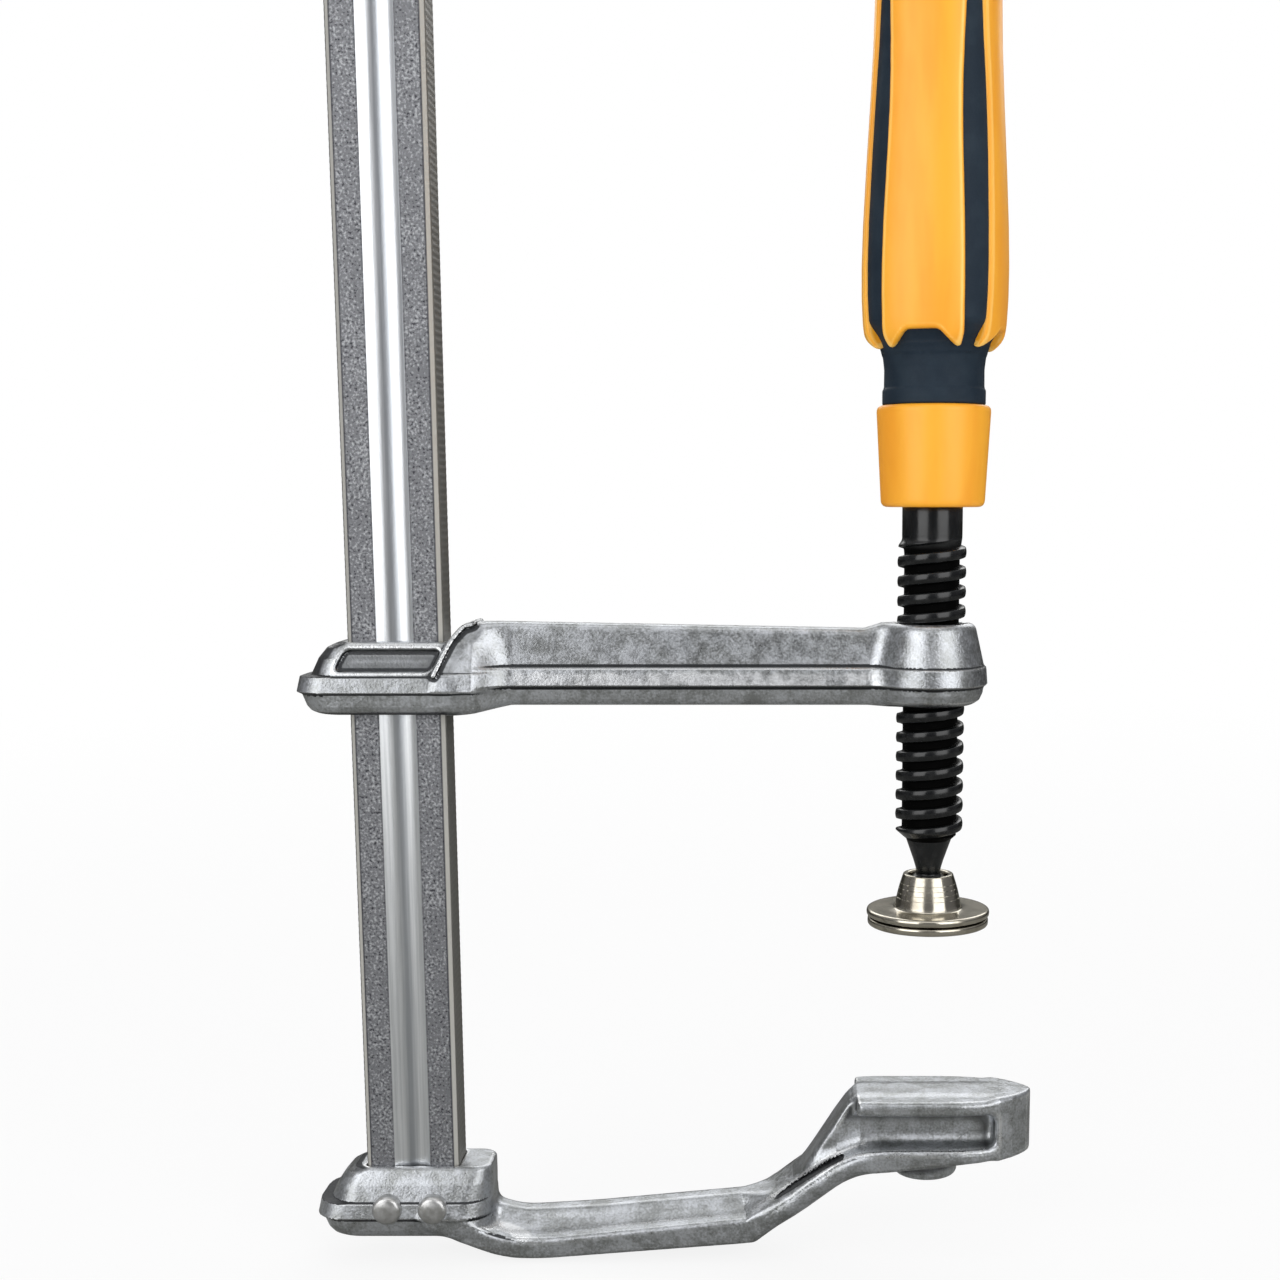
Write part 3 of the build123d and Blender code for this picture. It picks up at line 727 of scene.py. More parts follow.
@dataclass(frozen=True)
class RailZinc(Finish):
    """Blasted zinc on the rail's faces, and bare drawn metal in its groove."""

    slot: str = "rail_zinc"
    centre: float = 0.0
    half_width: float = 0.0
    top: float = 0.0
    groove_half: float = 4.3
    chamfer: float = 1.2
    blasted: Colour = (0.235, 0.24, 0.255)
    speckle: Colour = (0.50, 0.51, 0.53)
    pit: Colour = (0.07, 0.07, 0.08)
    drawn: Colour = (0.80, 0.82, 0.84)
    # Painted dark reflection down the middle of the groove
    rubbed: Colour = (0.36, 0.38, 0.41)
    # Painted highlight on the bevels: a light warm colour that is also less metallic, so they look lit
    bevel_highlight: Colour = (0.56, 0.55, 0.51)
    side: Colour = (0.24, 0.235, 0.22)
    streaked: Colour = (0.66, 0.68, 0.70)
    speck: tuple = (0.62, 3)
    blotch: tuple = (7, 3)
    streak: tuple = (0.5, 2, (1, 1, 60))

    def band(self, recipe: Recipe, speck: Signal) -> Signal:
        """Speckle the blasted bands beside the groove.

        Args:
            recipe: The material's nodes.
            speck: Noise that the speckles follow.

        Returns:
            Their colour.
        """
        bright = (speck * 0.8 + recipe.noise(*self.blotch) * 0.2).fit(0.5, 0.66)
        return recipe.mix(speck.fit(0.42, 0.34), recipe.mix(bright, self.blasted, self.speckle), self.pit)

    def mix_into(self, recipe: Recipe) -> None:
        """Speckle the bands, draw streaks along the groove, paint a dark reflection down its middle and a
        highlight on the bevels.

        Args:
            recipe: The material's nodes.
        """
        aside = abs(recipe.place().part("X") - self.centre * MM)
        sides = recipe.place().part("Z").fit((self.top - 0.1) * MM, (self.top - 0.3) * MM)
        groove = aside.fit((self.groove_half + 0.08) * MM, (self.groove_half - 0.08) * MM) * sides
        lip = abs(aside - (self.groove_half + 0.12) * MM).fit(0.3 * MM, 0.12 * MM) * sides
        flat = self.half_width - self.chamfer
        edge = aside.fit((flat - 0.05) * MM, (flat + 0.05) * MM)
        rim = abs(aside - (flat - 0.1) * MM).fit(0.3 * MM, 0.12 * MM)
        narrow = aside.fit((self.half_width - 0.34) * MM, (self.half_width - 0.24) * MM)
        speck = recipe.noise(*self.speck)
        streak = recipe.noise(*self.streak)
        border = recipe.mix(edge, self.band(recipe, speck), recipe.mix(narrow, self.bevel_highlight, self.side))
        # Painted dark reflection down the groove's middle
        middle = (aside + streak * 0.8 * MM).fit(2.3 * MM, 0.6 * MM)
        smooth = recipe.mix(streak.fit(0.3, 0.7), self.streaked, self.drawn)
        smooth = recipe.mix(middle * 0.8, smooth, self.rubbed)
        colour = recipe.mix(groove, recipe.mix(rim * 0.75 + lip * 0.4, border, self.pit), smooth)
        # The bevels' painted highlight also lowers their metallic
        bevel_highlight = edge * (1 - narrow)
        shine = groove * 0.85 + bevel_highlight * 0.3
        recipe.surface({
            "Base Color": colour,
            "Metallic": 0.95 - bevel_highlight * 0.5,
            "Roughness": 0.56 - shine * 0.34 + streak * 0.06,
            "Normal": recipe.bump(speck * (1 - shine) + streak * groove * 0.12, 0.12),
        })


@dataclass(frozen=True)
class CloudedFinish(Finish):
    """An even finish that drifts between two colours and has a fine grain."""

    colour: Colour = (0.5, 0.5, 0.5)
    drift: Colour = (0.5, 0.5, 0.5)
    cloud: tuple = (5, 3)
    grain: tuple = ()
    drifting: Values = (0.3, 0.7)
    roughness: Values = (0.2, 0.8, 0.3, 0.4)
    metallic: float = 0.95
    specular: float = 0.5
    relief: float = 0.01

    def mix_into(self, recipe: Recipe) -> None:
        """Mix the two colours, roughen the skin and raise its grain.

        Args:
            recipe: The material's nodes.
        """
        cloud = recipe.noise(*self.cloud)
        grain = recipe.noise(*self.grain) if self.grain else cloud
        skin = recipe.mix(cloud.fit(*self.drifting), self.colour, self.drift)
        recipe.surface({
            "Base Color": self.marked(recipe, skin),
            "Metallic": self.metallic,
            "Specular IOR Level": self.specular,
            "Roughness": self.rough_by(cloud, grain).fit(*self.roughness),
            "Normal": recipe.bump(grain, self.relief),
        })

    def marked(self, recipe: Recipe, skin: Signal) -> Signal:
        """Colour the marks of the mesh, which most finishes leave alone."""
        return skin

    def rough_by(self, cloud: Signal, grain: Signal) -> Signal:
        """Choose what the roughness follows, which is the cloud on most finishes."""
        return cloud


@dataclass(frozen=True)
class PlainZinc(CloudedFinish):
    """Bright zinc on small turned pins."""

    slot: str = "pin_steel"
    colour: Colour = (0.46, 0.46, 0.45)
    drift: Colour = (0.60, 0.60, 0.60)
    cloud: tuple = (1.6, 3)
    roughness: Values = (0.2, 0.8, 0.28, 0.44)
    relief: float = 0.03


@dataclass(frozen=True)
class HardenedSteel(CloudedFinish):
    """Hardened steel inside the swivel, with faint grinding marks."""

    slot: str = "hardened_steel"
    colour: Colour = (0.26, 0.26, 0.28)
    drift: Colour = (0.36, 0.36, 0.37)
    cloud: tuple = (0.4, 2, (8, 8, 1))
    roughness: Values = (0.2, 0.8, 0.24, 0.34)
    relief: float = 0.008


@dataclass(frozen=True)
class BrightNickel(CloudedFinish):
    """Warm bright nickel on the swivel pad, faintly stained and finely turned."""

    slot: str = "bright_nickel"
    colour: Colour = (0.55, 0.515, 0.435)
    drift: Colour = (0.34, 0.305, 0.245)
    # Painted shade in the gap between the cup and the base
    gap: Colour = (0.02, 0.018, 0.015)
    cloud: tuple = (5, 3)
    grain: tuple = (0.3, 2, (30, 30, 1))
    drifting: Values = (0.5, 0.8)
    roughness: Values = (0.3, 0.8, 0.14, 0.24)
    metallic: float = 1.0
    relief: float = 0.006

    def marked(self, recipe: Recipe, skin: Signal) -> Signal:
        """Paint shade into the gap between the cup and the base."""
        return recipe.mix(recipe.mark("hollow"), skin, self.gap)


@dataclass(frozen=True)
class AmberPlastic(CloudedFinish):
    """Satin moulded amber plastic."""

    slot: str = "amber_plastic"
    colour: Colour = (0.90, 0.400, 0.022)
    drift: Colour = (0.86, 0.335, 0.011)
    # Painted highlight along the rounded edges
    pale: Colour = (1.0, 0.62, 0.15)
    cloud: tuple = (14, 3, (0.5, 0.5, 3))
    grain: tuple = (0.45,)
    drifting: Values = (0.35, 0.7)
    roughness: Values = (0.3, 0.7, 0.36, 0.46)
    metallic: float = 0.0

    def marked(self, recipe: Recipe, skin: Signal) -> Signal:
        """Paint a pale highlight along the rounded edges."""
        return recipe.mix(recipe.mark("edge").fit(0.08, 0.30) * 0.7, skin, self.pale)


@dataclass(frozen=True)
class NavyElastomer(CloudedFinish):
    """Matt moulded navy elastomer."""

    slot: str = "navy_elastomer"
    colour: Colour = (0.009, 0.019, 0.032)
    drift: Colour = (0.014, 0.026, 0.040)
    cloud: tuple = (6, 3)
    grain: tuple = (0.3,)
    drifting: Values = (0.35, 0.7)
    roughness: Values = (0.2, 0.8, 0.55, 0.68)
    metallic: float = 0.0
    specular: float = 0.22
    relief: float = 0.02

    def rough_by(self, cloud: Signal, grain: Signal) -> Signal:
        """Let the roughness follow the grain."""
        return grain


@dataclass(frozen=True)
class BlackOxide(Finish):
    """Oiled black oxide on the screw."""

    slot: str = "black_oxide"
    colour: Colour = (0.003, 0.0035, 0.004)
    worn: Colour = (0.010, 0.0105, 0.011)
    # Painted shade in the thread's root
    root: Colour = (0.0005, 0.0005, 0.0005)

    def mix_into(self, recipe: Recipe) -> None:
        """Vary the oil film, rub the oxide thin in places, and paint shade into the thread's root, which is
        black, without reflection and matt.

        Args:
            recipe: The material's nodes.
        """
        cloud = recipe.noise(2.2, 3, stretch=(1, 1, 2))
        grain = recipe.noise(0.35)
        root = recipe.mark("hollow").fit(0.25, 0.8)
        skin = recipe.mix(cloud.fit(0.45, 0.75), self.colour, self.worn)
        recipe.surface({
            # The root's black colour and black metallic take away its reflection: painted shade
            "Base Color": recipe.mix(root, skin, self.root),
            "Metallic": root * 0.9,
            "Specular IOR Level": 0.5,
            "Roughness": cloud.fit(0.25, 0.75, 0.16, 0.25) + root * 0.5,
            "Normal": recipe.bump(grain, 0.012),
        })


# Frame

@dataclass(frozen=True)
class Box:
    """The room that a solid takes at rest, in millimetres."""

    low: np.ndarray
    high: np.ndarray

    @classmethod
    def of(cls, node: str) -> "Box":
        """Read a solid's box from the frame."""
        low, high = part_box(node)
        return cls(np.array(low) / MM, np.array(high) / MM)

    @property
    def middle(self) -> np.ndarray:
        """Give the middle of the room."""
        return (self.low + self.high) / 2

    @property
    def half(self) -> np.ndarray:
        """Give half the room's size along X, Y and Z."""
        return (self.high - self.low) / 2


class Bench:
    """Makes each piece from its skin, dresses it and gives it to its body."""

    def __init__(self, finishes: Sequence[Finish]) -> None:
        """Make the materials and read which body holds each node.

        Args:
            finishes: One finish for each material slot.
        """
        record = frame["record"]
        groups = record["behaviour"]["bodies"].items()
        self.body_of = {node: body for body, nodes in groups for node in nodes}
        self.slot_of = {part["node"]: part["material_slot"] for part in record["subparts"]}
        self.materials = {finish.slot: finish.material() for finish in finishes}

    def make(self, name: str, skin: Skin, node: str) -> bpy.types.Object:
        """Make a piece that stands for a node.

        Args:
            name: Name of the piece.
            skin: Its points and faces.
            node: The node that it replaces.

        Returns:
            The piece.
        """
        slot = self.slot_of[node]
        piece = bpy.data.objects.new(name, skin.mesh(name))
        bpy.context.scene.collection.objects.link(piece)
        piece.data.materials.append(self.materials[slot])
        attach(piece, self.body_of[node])
        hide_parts(node)
        log.info("%s: %d faces for %s", name, len(skin.faces), node)
        return piece

    def dress(self, node: str) -> None:
        """Give a solid that stays its finish.

        Args:
            node: The node to dress.
        """
        solid = frame["nodes"][node]
        if not solid.material_slots:
            solid.data.materials.append(None)
        for slot in solid.material_slots:
            slot.material = self.materials[self.slot_of[node]]
        log.info("%s: kept", node)


# Sub-assemblies

@dataclass(frozen=True)
class Rail:
    """The grooved flat bar with its serrated narrow edges, and its stop pin."""

    chamfer: float = 1.2
    groove_half: float = 4.3
    groove_depth: float = 1.4
    groove_points: int = 17
    edge_break: float = 0.12
    tooth_pitch: float = 1.6
    tooth_depth: float = 0.16
    tooth_start: float = 0.3
    corner_bite: float = 0.3
    end_chamfer: float = 0.6
    row: float = 0.4
    sharp_from: float = 24.0
    pin_rounding: float = 0.9

    def section(self, box: Box) -> np.ndarray:
        """List the section's points round the bar.

        Args:
            box: Room of the bar.

        Returns:
            Offsets from the bar's centre in X and Y, and how much each point is toothed.
        """
        half_x, half_y = box.half[:2]
        radius = (self.groove_half**2 + self.groove_depth**2) / (2 * self.groove_depth)
        turn = math.asin(self.groove_half / radius)
        groove = [
            (radius * math.sin(angle), -half_y + self.groove_depth - radius * (1 - math.cos(angle)), 0)
            for angle in np.linspace(-turn, turn, self.groove_points)
        ]
        flat, soft = half_x - self.chamfer, self.edge_break
        lip = self.groove_half + soft
        left = [(x, -half_y, 0) for x in (-flat, -flat + soft, -lip - soft, -lip)]
        side = [
            (half_x - soft, -half_y + self.chamfer - soft, 0),
            (half_x, -half_y + self.chamfer, self.corner_bite),
            (half_x, -half_y + self.chamfer + self.tooth_start, 1),
        ]
        front = left + groove + [(-x, y, bite) for x, y, bite in reversed(left)] + side
        right_half = front + [(x, -y, bite) for x, y, bite in reversed(side)]
        return np.array(right_half + [(-x, -y, bite) for x, y, bite in right_half])

    def skin(self) -> Skin:
        """Sweep the section up the bar, with teeth along the narrow edges.

        Returns:
            The bar's skin.
        """
        box = Box.of("rail")
        section = self.section(box)
        low, high = box.low[2], box.high[2]
        shoulder = high - self.end_chamfer
        heights = np.concatenate([[low], np.arange(low + self.row, shoulder, self.row), [shoulder]])
        phase = heights / self.tooth_pitch % 1
        bite = self.tooth_depth * np.clip(1.5 - abs(phase - 0.5) * 4, 0, 1)
        rows = np.zeros((len(heights) + 1, len(section), 3))
        rows[:, :, :2] = section[:, :2]
        rows[:-1, :, 0] -= np.sign(section[:, 0]) * section[:, 2] * bite[:, None]
        rows[:-1, :, 2] = heights[:, None]
        rows[-1, :, :2] *= 1 - self.end_chamfer / box.half[:2]
        rows[-1, :, 2] = high
        rows[:, :, :2] += box.middle[:2]
        sides = len(section)
        faces = ring_faces(len(rows), sides)
        faces.append(tuple(reversed(range(sides))))
        faces.append(tuple(range((len(rows) - 1) * sides, len(rows) * sides)))
        return Skin(rows.reshape(-1, 3), faces)

    def finish(self) -> RailZinc:
        """Fit the bar's finish to its sizes.

        Returns:
            The finish, with its groove and its bevels where the bar has them.
        """
        box = Box.of("rail")
        return RailZinc(
            centre=box.middle[0], half_width=box.half[0], top=box.high[2],
            groove_half=self.groove_half, chamfer=self.chamfer,
        )

    def build(self, bench: Bench) -> None:
        """Make the bar and its stop pin.

        Args:
            bench: Where the pieces are made.
        """
        bar = bench.make("grooved_rail", self.skin(), "rail")
        bar.data.set_sharp_from_angle(angle=math.radians(self.sharp_from))
        pin = Box.of("rail_stop_pin")
        radius, half = pin.half[:2]
        profile = round_corners([(0, -half), (radius, -half), (radius, half), (0, half)], self.pin_rounding)
        bench.make("stop_pin", lathe(profile, pin.middle, Axis.ACROSS, sides=64), "rail_stop_pin")


@dataclass(frozen=True)
class ForgedHead:
    """The head of a forged arm, which wraps the rail. Heights are above the arm's underside."""

    left: float
    right: float
    rail_x: float
    rail_half: tuple[float, float]
    base: float
    pocketed: bool = True
    rail_gap: float = 0.1
    rail_corner: float = 1.0
    reach: float = 7.8
    half_width: float = 11.0
    heights: Values = (-1.4, -0.5, 0.6, 3.3, 3.9, 7.4, 7.8, 11.6, 14.0, 15.5)
    draw_in: Values = (2.4, 1.4, 0.95, 0.65, 0.0, 0.65, 1.15, 2.35, 3.5, 4.2)
    end_draw_in: Values = (4.2, 2.9, 2.1, 1.1, 0.0, 0.7, 3.3, 5.2, 7.2, 10.2)
    corner_heights: Values = (0.0, 8.0, 15.4)
    corner_radii: Values = (7.0, 7.2, 4.0)
    top: float = 15.4
    top_rounding: float = 0.9
    drafted: float = 0.9
    slope_rows: tuple[int, int] = (6, 9)
    pocket_low: float = 1.15
    pocket_high: float = 6.3
    pocket_depth: float = 0.85
    pocket_half: float = 11.1
    pocket_corner: float = 1.5
    pocket_shift: float = -1.25
    pocket_lean: float = 0.44
    pocket_lip: float = 0.7
    pocket_floor: float = 0.5
    # Painted shade on the far end's faces that look up and outward, and in the pockets
    pocket_shade: float = 0.32
    shade_margin: float = 0.2
    shade_facing: Values = (0.8, 1.05)
    shade_heights: Values = (7.4, 8.0)
    shade_fade: float = 0.5

    @classmethod
    def on_rail(cls, left: float, foot: float, **changes: float) -> "ForgedHead":
        """Set a head round the rail.

        Args:
            left: X of the head's far end.
            foot: Height of the head's lowest edge.
            changes: Sizes that differ from the usual ones.

        Returns:
            The head.
        """
        rail = Box.of("rail")
        right = rail.high[0] + cls.reach
        return cls(left, right, rail.middle[0], tuple(rail.half[:2]), foot - cls.heights[0], **changes)

    def distance(self, x: Grid, y: Grid, z: Grid) -> Grid:
        """Measure to the solid head, with a pocket in each sloped face if it has them.

        Args:
            x: X of the places.
            y: Y of the places.
            z: Z of the places.

        Returns:
            Distance to the head.
        """
        up = z - self.base
        half = self.half_width - np.interp(up, self.heights, self.draw_in)
        left = self.left + np.interp(up, self.heights, self.end_draw_in)
        middle, half_x = (left + self.right) / 2, (self.right - left) / 2
        corner = np.interp(up, self.corner_heights, self.corner_radii)
        plan = slab(x - middle, y, half_x, half, corner) * self.drafted
        foot = self.heights[0]
        rise = abs(up - (self.top + foot) / 2) - (self.top - foot) / 2
        head = blend_max(plan, rise + 0 * plan, self.top_rounding)
        if not self.pocketed:
            return head
        return blend_max(head, -self.pocket(x, abs(y), up), self.pocket_lip)

    def pocket(self, x: Grid, aside: Grid, up: Grid) -> Grid:
        """Measure to the shallow pocket in a sloped face.

        Args:
            x: X of the places.
            aside: How far they are from the middle plane.
            up: Their height above the arm's underside.

        Returns:
            Distance to the pocket.
        """
        foot, crown = ((self.half_width - self.draw_in[row], self.heights[row]) for row in self.slope_rows)
        slope = np.subtract(crown, foot)
        slope /= np.linalg.norm(slope)
        along = (aside - foot[0]) * slope[0] + (up - foot[1]) * slope[1]
        out = (aside - foot[0]) * slope[1] - (up - foot[1]) * slope[0]
        middle = (self.pocket_low + self.pocket_high) / 2
        half = (self.pocket_high - self.pocket_low) / 2
        across = x - self.rail_x - self.pocket_shift - (along - middle) * self.pocket_lean
        flat = slab(across, along - middle, self.pocket_half, half, self.pocket_corner) * self.drafted
        return blend_max(flat, -(out + self.pocket_depth), self.pocket_floor)

    def soot(self, points: np.ndarray, normals: np.ndarray) -> np.ndarray:
        """Tell where shade is painted on the far end, the top and the pockets.

        Args:
            points: Places on the arm.
            normals: Which way its skin faces there.

        Returns:
            How dark each place is, from 0 to 1.
        """
        x, y, z = points.T
        up = z - self.base
        facing = np.interp(normals[:, 2] - normals[:, 0], self.shade_facing, (0, 1))
        beyond = np.clip(self.rail_x - self.rail_half[0] - x + self.shade_fade, 0, 1)
        end = facing * beyond * np.interp(up, self.shade_heights, (0, 1))
        pocket = self.pocket(x, abs(y), up) < self.shade_margin
        return np.maximum(end, np.where(pocket, self.pocket_shade, 0))

    def rail_hole(self, x: Grid, y: Grid) -> Grid:
        """Measure to the hole for the rail."""
        half_x, half_y = (half + self.rail_gap for half in self.rail_half)
        return slab(x - self.rail_x, y, half_x, half_y, self.rail_corner)


@dataclass(frozen=True)
class SlidingArm:
    """The forged sliding arm: head, shoulder, neck, beam with its parting belt, and boss."""

    cell: float = 0.42
    neck_start: float = -106.3
    neck_length: float = 9.0
    neck_bend: float = 0.75
    beam_heights: Values = (0.4, 4.4, 5.2, 9.0, 9.4, 9.9, 20.0)
    beam_halves: Values = (4.6, 5.3, 6.45, 5.7, 5.2, 4.1, 3.4)
    neck_heights: Values = (0.4, 3.4, 4.2, 8.1, 8.6, 15.4, 20.0)
    neck_halves: Values = (9.5, 10.2, 11.0, 10.3, 9.8, 6.9, 4.4)
    boss_heights: Values = (0.0, 0.6, 1.6, 3.2, 4.5, 5.3, 9.1, 9.7, 19.4)
    boss_radii: Values = (8.8, 10.3, 11.5, 12.2, 12.4, 13.3, 13.0, 12.4, 10.2)
    boss_fillet: float = 3.6
    drafted: float = 0.92
    edge: float = 1.7
    head_fillet: float = 0.8
    bore: float = 8.25
    bore_edge: float = 0.5
    ridge: Outline = (
        (-115.6, 4.3), (-114.7, 7.9), (-113.0, 11.7), (-110.8, 16.2), (-108.4, 18.9), (-106.0, 19.6),
    )
    over: Outline = ((-100.0, 19.7), (-15.5, 18.1), (-11.5, 19.4), (15.0, 19.4))
    under: Outline = ((15.0, 0.0), (-10.0, 0.0), (-15.0, 0.4), (-98.0, 0.4), (-106.0, -1.1), (-112.0, -1.4))
    rib_heights: Values = (4.0, 8.2, 15.4, 20.0)
    rib_halves: Values = (11.0, 10.4, 7.3, 4.3)
    rib_bend: float = 2.2
    rib_thickness: float = 0.55
    rib_stand: float = 0.7
    rib_edge: float = 0.4
    rib_fillet: float = 0.45
    hole_edge: float = 0.4
    belt_heights: Values = (4.9, 5.4, 7.6, 9.0)
    belt_rub: Values = (0.0, 1.0, 1.0, 0.0)
    rub_places: Values = (-104.0, -92.0, -16.0, -6.0)
    rub_share: Values = (0.0, 1.0, 1.0, 0.2)
    rub_facing: float = 0.5

    def distance(self, head: ForgedHead, x: Grid, y: Grid, z: Grid) -> Grid:
        """Measure to the whole arm.

        Args:
            head: The arm's head.
            x: X of the places.
            y: Y of the places.
            z: Z of the places.

        Returns:
            Distance to the arm.
        """
        up, aside = z - head.base, abs(y)
        spread = 1 - ease(np.clip((x - self.neck_start) / self.neck_length, 0, 1) ** self.neck_bend)
        slim = np.interp(up, self.beam_heights, self.beam_halves)
        broad = np.interp(up, self.neck_heights, self.neck_halves)
        beam = np.maximum(aside - slim - (broad - slim) * spread, x)
        boss = np.hypot(x, y) - np.interp(up, self.boss_heights, self.boss_radii)
        plan = blend_min(beam, boss, self.boss_fillet) * self.drafted
        side = outline_distance(x, up, [*self.ridge, *self.over, *self.under])
        body = blend_max(plan, side, self.edge)
        ribs = path_distance(x, up, round_corners(self.ridge[1:], self.rib_bend)) - self.rib_thickness
        stand = aside - np.interp(up, self.rib_heights, self.rib_halves) - self.rib_stand
        body = blend_min(body, head.distance(x, y, z), self.head_fillet)
        body = blend_min(body, blend_max(ribs, stand, self.rib_edge), self.rib_fillet)
        body = blend_max(body, -head.rail_hole(x, y), self.hole_edge)
        return blend_max(body, self.bore - np.hypot(x, y), self.bore_edge)

    def build(self, bench: Bench) -> None:
        """Make the arm, with shade painted at its head and worn bright along its belt.

        Args:
            bench: Where the pieces are made.
        """
        box = Box.of("sliding_arm")
        head = ForgedHead.on_rail(box.low[0], box.low[2])
        skin = cast(partial(self.distance, head), box.low, box.high, self.cell)
        # Painted shade at the head's far end and in its pockets
        skin.marks["soot"] = head.soot(skin.points, skin.normals)
        belt = np.interp(skin.points[:, 2] - head.base, self.belt_heights, self.belt_rub)
        along = np.interp(skin.points[:, 0], self.rub_places, self.rub_share)
        flanks = 1 - abs(skin.normals[:, 2]) > self.rub_facing
        skin.marks["rubbed"] = along * belt * flanks
        bench.make("forged_sliding_arm", skin, "sliding_arm")


@dataclass(frozen=True)
class FixedArm:
    """The forged fixed arm: head, bow, step and the anvil with a trough along each side."""

    cell: float = 0.42
    rail_gap: float = 0.02
    flange_places: Values = (-90.0, -45.0, -38.0, -29.0, -16.0, -9.7, 8.4, 20.0)
    flange_halves: Values = (2.55, 3.1, 3.0, 3.1, 2.7, 2.7, 1.8, 1.6)
    bow_line: Outline = ((-42.5, -32.9), (-93.0, -37.5), (-101.5, -37.3), (-109.0, -34.4), (-119.0, -29.3))
    bow_bend: float = 9.0
    ramp_line: Outline = ((40.0, -12.4), (-18.0, -15.5), (-42.5, -32.9))
    ramp_bend: float = 6.5
    front_places: Values = (-42.0, -36.0, -22.0, -12.0)
    front_rounds: Values = (1.2, 3.0, 3.0, 1.2)
    web_line: Outline = (
        (-116.0, -22.0), (-104.0, -28.4), (-98.0, -29.9), (-80.0, -28.9), (-42.5, -25.4), (-37.6, -24.2),
        (-31.0, -19.9), (-18.0, 0.0), (40.0, 0.0), (40.0, -14.0), (-18.0, -14.2), (-42.5, -33.6),
        (-93.0, -37.5), (-116.0, -30.0),
    )
    web_bend: float = 3.0
    web_places: Values = (-60.0, -44.0, -32.0, -22.0, -16.0)
    web_halves: Values = (2.5, 2.5, 5.2, 6.0, 4.3)
    web_edge: float = 1.6
    sweeps: Values = (6.8, 6.6, 4.2, 3.2, 3.0)
    flange_fillet: float = 1.0
    side_stand: float = 0.3
    side_edge: float = 1.2
    slit_out: float = 0.16
    slit_places: Values = (-38.0, -36.0, -31.0, -22.5, -20.4, -19.6)
    slit_halves: Values = (-0.4, 0.02, 0.12, 0.22, 0.12, -0.8)
    slit_bottom: float = 6.6
    slit_edge: float = 0.3
    slit_spread: float = 0.2
    plan_places: Values = (-119.0, -102.0, -42.0, -32.0)
    plan_halves: Values = (11.0, 9.6, 9.6, 11.0)
    nose_start: float = 5.0
    nose_places: Values = (5.0, 8.1, 12.6, 17.2, 20.4, 22.6, 24.2, 25.1, 25.5, 27.0)
    nose_halves: Values = (11.0, 10.9, 10.3, 8.7, 6.8, 4.9, 3.1, 1.6, 0.0, -6.0)
    nose_slant: float = 0.75
    nose_wall: float = 16.2
    nose_fillet: float = 3.0
    plate_half: float = 1.8
    plate_left: float = -17.0
    plate_fillet: float = 2.2
    tail_radius: float = 7.75
    tail_top: float = -14.0
    tail_bottom: float = -20.8
    tail_rounding: float = 1.6
    head_fillet: float = 2.0
    hole_edge: float = 0.4
    underside: float = -0.9
    rivet_dome: Outline = ((0.0, 0.0), (0.45, 0.05), (0.85, 0.5), (1.0, 1.3))
    rivet_rounding: float = 0.8

    def flange(self, x: Grid, z: Grid) -> Grid:
        """Measure to the flange, seen from the front.

        Args:
            x: X of the places.
            z: Z of the places.

        Returns:
            Distance to the flange.
        """
        bow = path_distance(x, z, round_corners(self.bow_line, self.bow_bend, steps=7))
        ramp = path_distance(x, z, round_corners(self.ramp_line, self.ramp_bend, steps=7))
        return np.minimum(bow, ramp) - np.interp(x, self.flange_places, self.flange_halves)

    def crease(self, x: Grid, z: Grid, flange: Grid) -> Grid:
        """Measure to the thin crease between the flange and the web, on the ramp.

        Args:
            x: X of the places.
            z: Z of the places.
            flange: Distance to the flange.

        Returns:
            Distance to the crease, seen from the front.
        """
        line = abs(flange - self.slit_out) - np.interp(x, self.slit_places, self.slit_halves)
        return np.maximum(line, np.interp(x, *zip(*reversed(self.ramp_line))) - z)

    def web(self, x: Grid, aside: Grid, flange: Grid, outline: Grid) -> Grid:
        """Measure to the web and the sweeps that join it to the flange.

        Args:
            x: X of the places.
            aside: How far they are from the middle plane.
            flange: Distance to the flange.
            outline: Distance to the web's outline, seen from the front.

        Returns:
            Distance to the web.
        """
        sweep = np.interp(x, self.web_places, self.sweeps)
        out = np.minimum(aside - np.interp(x, self.web_places, self.web_halves) - sweep, 0)
        wall = sweep - np.hypot(out, np.minimum(flange - sweep, 0))
        return blend_max(outline, wall, self.web_edge)

